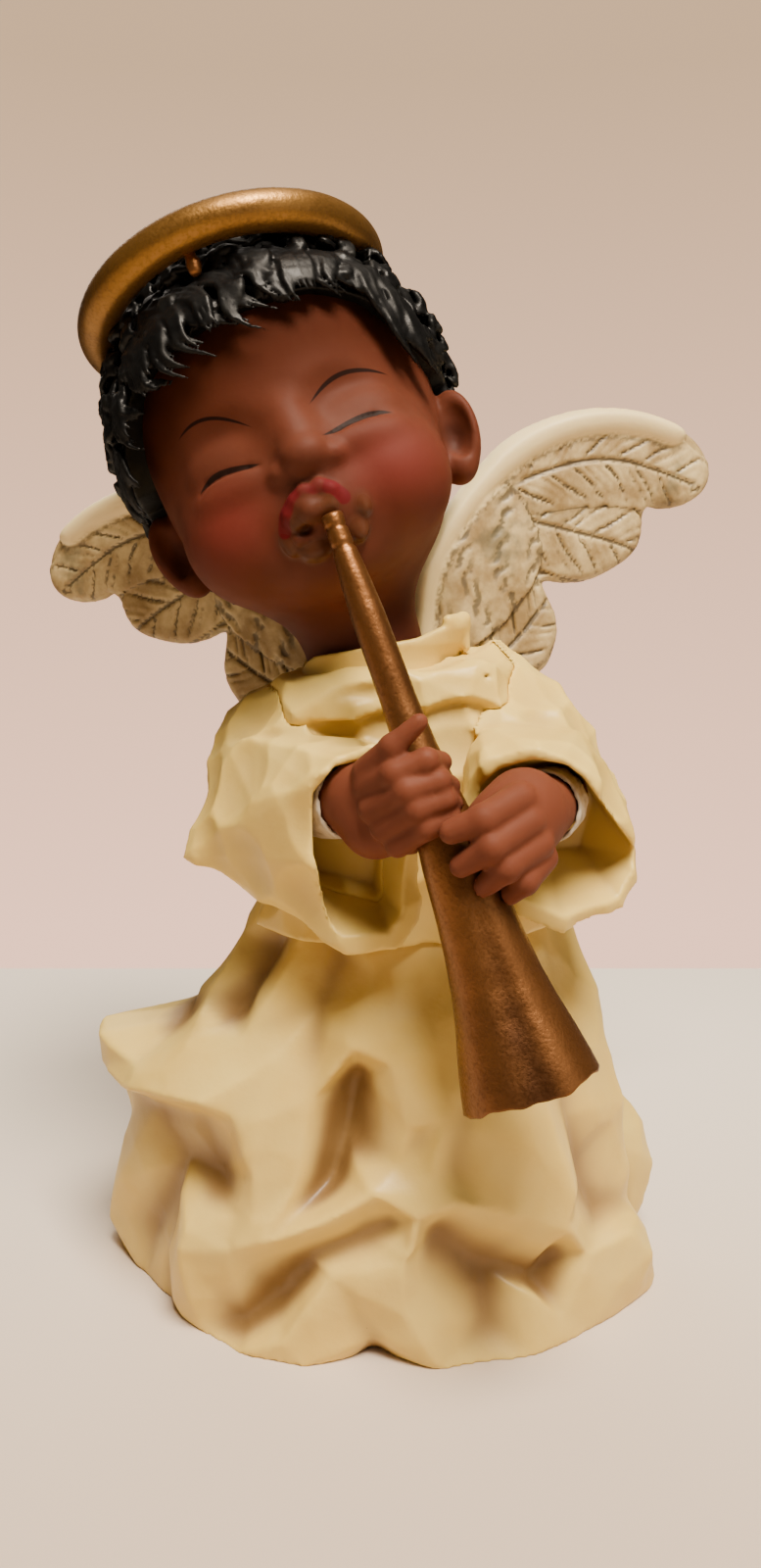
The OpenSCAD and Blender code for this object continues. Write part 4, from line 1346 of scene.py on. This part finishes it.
HAND_GAP = 0.05
CUFF_SPAN = (0.42, 0.88)
RIGHT_WRIST = ((-11.0, -14.5, 72.5), (-3, -24.5, 75))
LEFT_WRIST = ((24, -13, 73.5), (19.5, -25, 74))
RIGHT_FINGERS = [
    ([(-1.6, -29.6, 77.6), (1.6, -33.2, 79.8), (5.2, -33.3, 81.3), (7.0, -30.6, 80.7)],
     (1.7, 1.65, 1.5, 1.35)),
    ([(-0.9, -30.6, 75.1), (3.0, -34.0, 77.9), (6.6, -33.2, 78.9), (8.0, -30.4, 77.8)],
     (1.75, 1.7, 1.5, 1.4)),
    ([(0.4, -31.0, 73.0), (4.1, -34.1, 75.8), (7.3, -33.2, 76.7), (8.5, -30.6, 75.6)],
     (1.7, 1.65, 1.5, 1.35)),
    ([(2.0, -31.2, 71.0), (5.2, -33.8, 73.6), (7.9, -33.0, 74.4), (9.0, -31.0, 73.6)],
     (1.6, 1.5, 1.35, 1.2)),
]
RIGHT_THUMB = ([(-1.6, -29.2, 79.4), (1.4, -32.4, 82.8), (4.4, -33.2, 85.7)], (1.8, 1.45, 1.05))
LEFT_FINGERS = [
    ([(16.0, -33.0, 76.8), (11.6, -36.2, 75.0), (8.0, -35.6, 73.5)], (2.0, 1.85, 1.45)),
    ([(17.0, -33.6, 74.2), (12.5, -36.9, 72.0), (9.2, -35.4, 69.5)], (2.0, 1.85, 1.4)),
    ([(18.2, -33.2, 71.6), (14.2, -36.4, 69.5), (11.8, -34.8, 66.9)], (1.95, 1.75, 1.35)),
    ([(19.0, -32.0, 69.6), (16.6, -35.0, 67.5), (15.0, -33.8, 65.7)], (1.8, 1.55, 1.3)),
]


def carve_horn(clay):
    """Leaves room for the horn."""
    down = unit(HORN_BELL - HORN_MOUTH)
    for t in range(20, 60, 4):
        radii = [float(read(HORN_OUTSIDE, s)) + HAND_GAP for s in (t, t + 4)]
        clay.cut(limb(HORN_MOUTH + down * t, HORN_MOUTH + down * (t + 4), *radii))


def hand_right():
    """Upper fist, its four fingers slanting over the horn and the thumb pointing up."""
    clay = Clay((-19, -38, 64), (13, -12, 89), 0.3)
    clay.add(limb(*RIGHT_WRIST, 3.2, 4.2))
    clay.add(limb((-1.4, -25.4, 76.4), (-0.6, -25.8, 72.2), 4.3, 4.2), 2)
    clay.add(limb((1.2, -28.0, 77.0), (3.2, -28.4, 72.8), 3.9, 3.6), 2)
    for places, sizes in RIGHT_FINGERS:
        run_of(clay, places, sizes, 0.55)
    run_of(clay, *RIGHT_THUMB, 0.7)
    clay.cut(egg((4.6, -34.4, 86.0), (0.55, 0.3, 0.75)), 0.2)
    finish_hand("hand_right_cast", clay, "hand_right")


def hand_left():
    """Lower fist: a broad back and four fingers running down to separate tips."""
    clay = Clay((5, -40, 61), (31, -9, 84), 0.3)
    clay.add(limb(*LEFT_WRIST, 3.4, 4.2))
    clay.add(egg((17.0, -29.0, 74.2), (5.2, 4.9, 5.6)), 2)
    clay.add(egg((14.4, -31.4, 72.6), (5.0, 3.6, 5.6), turned(y=25).T), 2)
    for places, sizes in LEFT_FINGERS:
        run_of(clay, places, sizes, 0.5)
    finish_hand("hand_left_cast", clay, "hand_left")


def finish_hand(name, clay, node):
    """Leaves room for the horn and makes the hand's mesh."""
    carve_horn(clay)
    points, faces = clay.mesh(0.4, one_lump=True)
    make_piece(name, points, faces, HAND_PAINT, node,
               {"hollow": hollowness(points, faces, 10)})


def cuff(name, wrist, node):
    """White-painted band in the sleeve, round the wrist."""
    a, b = (np.array(p, float) for p in wrist)
    way = unit(b - a)
    low, high = (a + share * (b - a) for share in CUFF_SPAN)
    clay = Clay(np.minimum(low, high) - 7, np.maximum(low, high) + 7, 0.26)
    clay.add(limb(low, high, 4.5, 4.75))
    x, y, z = clay.whole()
    clay.field = -smooth_min(-clay.field, -slab(high, way, 9)[2](x, y, z).astype(np.float32), 0.3)
    clay.cut(slab(low, way, 9))
    clay.cut(limb(a - way * 9, b + way * 9, 4.25))
    clay.field = (clay.field + 0.07 * np.sin(x * 1.9 + y) * np.sin(z * 2.3)).astype(np.float32)
    points, faces = clay.mesh(0.4)
    make_piece(name, points, faces, CUFF_PAINT, node,
               {"hollow": hollowness(points, faces, 12)})


# ---------------------------------------------------------------- wings

WING_ROOT = np.array((9, 16, 99.0))
WING_MIDDLE = np.array((-1, 0, 99.0))
PAIR_TURN = turned(0, -9, -3)
WING_TURN = turned(x=90)
WING_SWEEP = turned(z=18)
HEAD_ROOM = np.array((24.6, 24.6, 29.0))

# One wing in its own plane, mm: x out to the tip, y up.
WING_OUTLINE = [(-7, -17.5), (-8, -10), (-5, 2.4), (-2, 7.2), (1.2, 11), (6.4, 15.7), (12.5, 20.4),
                (20.2, 22.7), (27.7, 23.2), (35.1, 21.8), (42.4, 18.2), (46.2, 13.5), (45.4, 8.6),
                (41.4, 6.4), (36.9, 6.2), (34.2, 7.4), (33.4, 5), (32.6, 1.8), (30.3, -0.5), (24.2, -2.7),
                (19.6, -2.8), (15.2, -1.4), (15.6, -3.2), (17.3, -7.8), (16.2, -12.1), (13.6, -15.8),
                (6, -17.3)]
LEADING_ROLL = [(-6.6, -12), (-6.0, -4), (-3.6, 3), (-0.4, 7.8), (4.8, 12.8), (11.8, 17.8), (20, 20.9),
                (27.7, 21.5), (34.6, 20.3), (39.5, 18.2)]
# Feathers, lowest first: midrib, half-width, how far each stands proud and the gap between its veins.
FEATHERS = [
    ([(5, -12.6), (10, -9.6), (15.4, -4.6)], 5.6, 0.35, 1.8),
    ([(10, 9.0), (14.3, 7.6), (21.4, 4.9), (26.5, 3.0), (31.0, 0.8)], 7.0, 0.55, 1.9),
    ([(9.5, 12.2), (14.2, 13.9), (22.9, 15.4), (29.7, 14.9), (35.9, 12.4), (42.0, 9.4)], 6.9, 0.95, 1.9),
]
COVERT_EDGE = [(10.4, 14.4), (13.2, 10.9), (15.0, 6.4), (15.4, 2.0), (13.8, -1.6), (10.5, -4.4), (8, -7),
               (1, -10.5)]


def path_distance(path, u, v):
    """Distance to a polyline, how far along it the nearest place is, and the side it lies on."""
    best = np.full(u.shape, 1e9)
    along = np.zeros(u.shape)
    side = np.zeros(u.shape)
    done = 0.0
    for (ax, ay), (bx, by) in zip(path, path[1:]):
        dx, dy = bx - ax, by - ay
        length = math.hypot(dx, dy)
        t = np.clip(((u - ax) * dx + (v - ay) * dy) / length ** 2, 0, 1)
        away = np.hypot(u - ax - t * dx, v - ay - t * dy)
        near = away < best
        best = np.where(near, away, best)
        along = np.where(near, done + t * length, along)
        side = np.where(near, np.sign(dx * (v - ay) - dy * (u - ax)), side)
        done += length
    return best, along, side


def inside_outline(path, u, v):
    """True where a point lies in a closed outline."""
    hit = np.zeros(u.shape, bool)
    for (ax, ay), (bx, by) in zip(path, path[1:] + path[:1]):
        if ay == by:
            continue
        cross = ((ay > v) != (by > v)) & (u < (bx - ax) * (v - ay) / (by - ay) + ax)
        hit ^= cross
    return hit


def smooth_path(path, closed=False):
    """Cuts a polyline's corners off twice."""
    for _ in range(2):
        fresh = [] if closed else [path[0]]
        for (ax, ay), (bx, by) in zip(path, path[1:] + (path[:1] if closed else [])):
            for near, far in ((0.75, 0.25), (0.25, 0.75)):
                fresh.append((near * ax + far * bx, near * ay + far * by))
        path = fresh if closed else fresh + [path[-1]]
    return path


def wing_relief(u, v):
    """Front height of a wing over its plane, and where it is feathered and grooved."""
    height = np.zeros(u.shape)
    groove = np.zeros(u.shape)
    level = np.zeros(u.shape)
    for path, half, proud, gap in FEATHERS:
        away, along, side = path_distance(smooth_path(path), u, v)
        total = sum(math.dist(a, b) for a, b in zip(path, path[1:]))
        share = np.clip(along / total, 0, 1)
        width = half * np.sqrt(np.clip(1 - ((share - 0.55) / 0.62) ** 2, 0.02, 1))
        across = away / width
        blade = across < 1
        dome = proud + 0.35 * np.sqrt(np.clip(1 - across ** 2, 0, 1))
        rib = np.exp(-(away / 0.32) ** 2) * np.clip(share * 6, 0, 1)
        phase = (along - away * 1.05 + 0.25 * side * np.sin(along)) / gap + 0.3 * side
        vein = np.exp(-((phase - np.round(phase)) * gap / 0.3) ** 2)
        vein = vein * np.clip((1 - across) * 4, 0, 1) * np.clip(away / 0.8 - 0.3, 0, 1)
        vein = vein * (0.55 + 0.45 * np.sin(phase * 2.4 + side))
        here = dome - 0.6 * rib - 0.55 * vein
        edge = np.exp(-((across - 1) * width / 0.45) ** 2) * (across >= 1)
        height = np.where(blade, here, height)
        groove = np.where(blade, np.maximum(rib, 0.9 * vein), np.maximum(groove, 0.8 * edge))
        level = np.where(blade, proud, level)
    covert_edge = smooth_path(COVERT_EDGE)
    covert = inside_outline(covert_edge + [(-12, -16), (-12, 14), (2, 22)], u, v)
    away, _, _ = path_distance(covert_edge, u, v)
    lead, lead_along, _ = path_distance(smooth_path(LEADING_ROLL), u, v)
    waver = lead * 3.1 + 1.2 * np.sin(lead_along * 0.45) + 0.8 * np.sin(lead_along * 1.3)
    streak = 0.5 + 0.5 * np.sin(waver)
    streak *= 0.5 + 0.5 * np.sin(lead_along * 0.5 + lead * 0.9)
    mound = 1.25 + 0.45 * np.clip(away / 4, 0, 1) - 0.4 * streak
    fall = np.exp(-(away / 0.5) ** 2) * ~covert
    height = np.where(covert, mound, height)
    groove = np.where(covert, streak * 0.85, np.maximum(groove, fall))
    roll = np.sqrt(np.clip(1 - (lead / 2.9) ** 2, 0, 1)) * 2.5
    feather = 1 - np.clip((3.0 - lead) / 0.7, 0, 1)
    groove = np.maximum(groove * feather, 0.55 * np.exp(-((lead - 3.1) / 0.4) ** 2))
    return np.maximum(height, roll), feather, groove


def wing(name, node, mirror):
    """Cream leading edge, leaf-like feathers with engraved veins, streaked coverts."""
    clay = Clay((-10, -20, -2.2), (48.5, 26, 5.2), 0.36)
    rows = [clay.low[i] + clay.step * np.arange(clay.field.shape[i]) for i in (0, 1)]
    u, v = np.meshgrid(*rows, indexing="ij")
    outline = smooth_path(WING_OUTLINE, closed=True)
    rim, _, _ = path_distance(outline + outline[:1], u, v)
    within = np.where(inside_outline(outline, u, v), rim, -rim)
    height, feather, groove = wing_relief(u, v)
    thin = np.sqrt(np.clip(1 - (1 - np.clip(within / 1.6, 0, 1)) ** 2, 0, 1))
    front = 0.7 + (0.9 + height) * thin
    back = 0.7 - 1.5 * thin - 0.12 * np.sin(u * 0.8) * np.sin(v * 0.7) * thin
    c = (clay.low[2] + clay.step * np.arange(clay.field.shape[2]))[None, None, :]
    flat = np.maximum((c - front[:, :, None]) * 0.75, (back[:, :, None] - c) * 0.9)
    clay.field = np.maximum(flat, -within[:, :, None] * np.ones_like(c)).astype(np.float32)
    points, faces = clay.mesh(0.35)
    i, j = (np.clip(np.round((points[:, k] - clay.low[k]) / clay.step).astype(int), 0, u.shape[k] - 1)
            for k in (0, 1))
    in_front = points[:, 2] > 0.3
    marks = {"feather": np.where(in_front, feather[i, j], 0.5),
             "groove": np.where(in_front, groove[i, j], 0.0)}
    world = (WING_SWEEP @ WING_TURN @ points.T).T + WING_ROOT
    if mirror:
        world[:, 0] = 2 * WING_MIDDLE[0] - world[:, 0]
        faces = faces[:, ::-1]
    world = clear_of_head((PAIR_TURN @ (world - WING_MIDDLE).T).T + WING_MIDDLE)
    make_piece(name, world, faces, wing_paint(name + "_paint"), node, marks)


def clear_of_head(points):
    """Presses a wing back where the head or the hair would touch it."""
    local = (HEAD_TURN.T @ (points - HEAD_AT).T).T
    size = np.linalg.norm(local / HEAD_ROOM, axis=1)
    push = np.clip(1 - size, 0, 1) * HEAD_ROOM[1]
    return points + np.outer(push, (0, 1.0, 0))


# ---------------------------------------------------------------- base and inner parts

def base_pad():
    """Felt disc let into the underside, its edge a little frayed."""
    rings = [(0.0, 0.02), (0.0, 8), (0.0, 16), (0.0, 21.6), (0.12, 22.2), (0.8, 22.4), (1.5, 22.2),
             (1.6, 21.6), (1.6, 12), (1.6, 0.02)]
    count = 160
    points = []
    for z, r in rings:
        for i in range(count):
            a = 2 * math.pi * i / count
            frayed = 0.10 * math.sin(31 * a) * math.sin(7 * a) if r > 21 else 0
            sag = 0.04 * math.sin(3 * a + r) if 1 < r < 21 else 0
            points.append(((r + frayed) * math.cos(a), (r + frayed) * math.sin(a), z + max(sag, 0)))
    felt = plain_paint("felt", FELT_GREEN, FELT_PALE, 500, 0.92, 0.0004)
    faces = grid_faces(len(rings), count)[:, ::-1]
    make_piece("base_felt", np.array(points), faces, felt, "base_pad", {})


def inner_parts():
    """Bare resin on the hidden inner parts, and cream on the wing pegs, whose ends show from behind."""
    resin = plain_paint("bare_resin", RESIN, RESIN_DARK, 160, 0.62, 0.0002)
    for name in ("torso", "wing_pegs", "neck_dowel", "waist_dowel"):
        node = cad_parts[name]
        node.data.materials.clear()
        node.data.materials.append(CREAM_PAINT if name == "wing_pegs" else resin)


CREAM_PAINT = cream_paint()
HAND_PAINT = hand_paint()
CUFF_PAINT = plain_paint("cuff_white", CUFF_WHITE, CUFF_WORN, 260, 0.5, 0.0003)

camera()
table()
lamps()
room()
skirt()
base_pad()
robe_and_sleeves()
collar()
head()
hair()
halo()
halo_pins()
horn()
hand_right()
hand_left()
for side, wrist in (("right", RIGHT_WRIST), ("left", LEFT_WRIST)):
    cuff(f"cuff_{side}_band", wrist, f"cuff_{side}")
wing("wing_right_cast", "wing_right", mirror=True)
wing("wing_left_cast", "wing_left", mirror=False)
inner_parts()
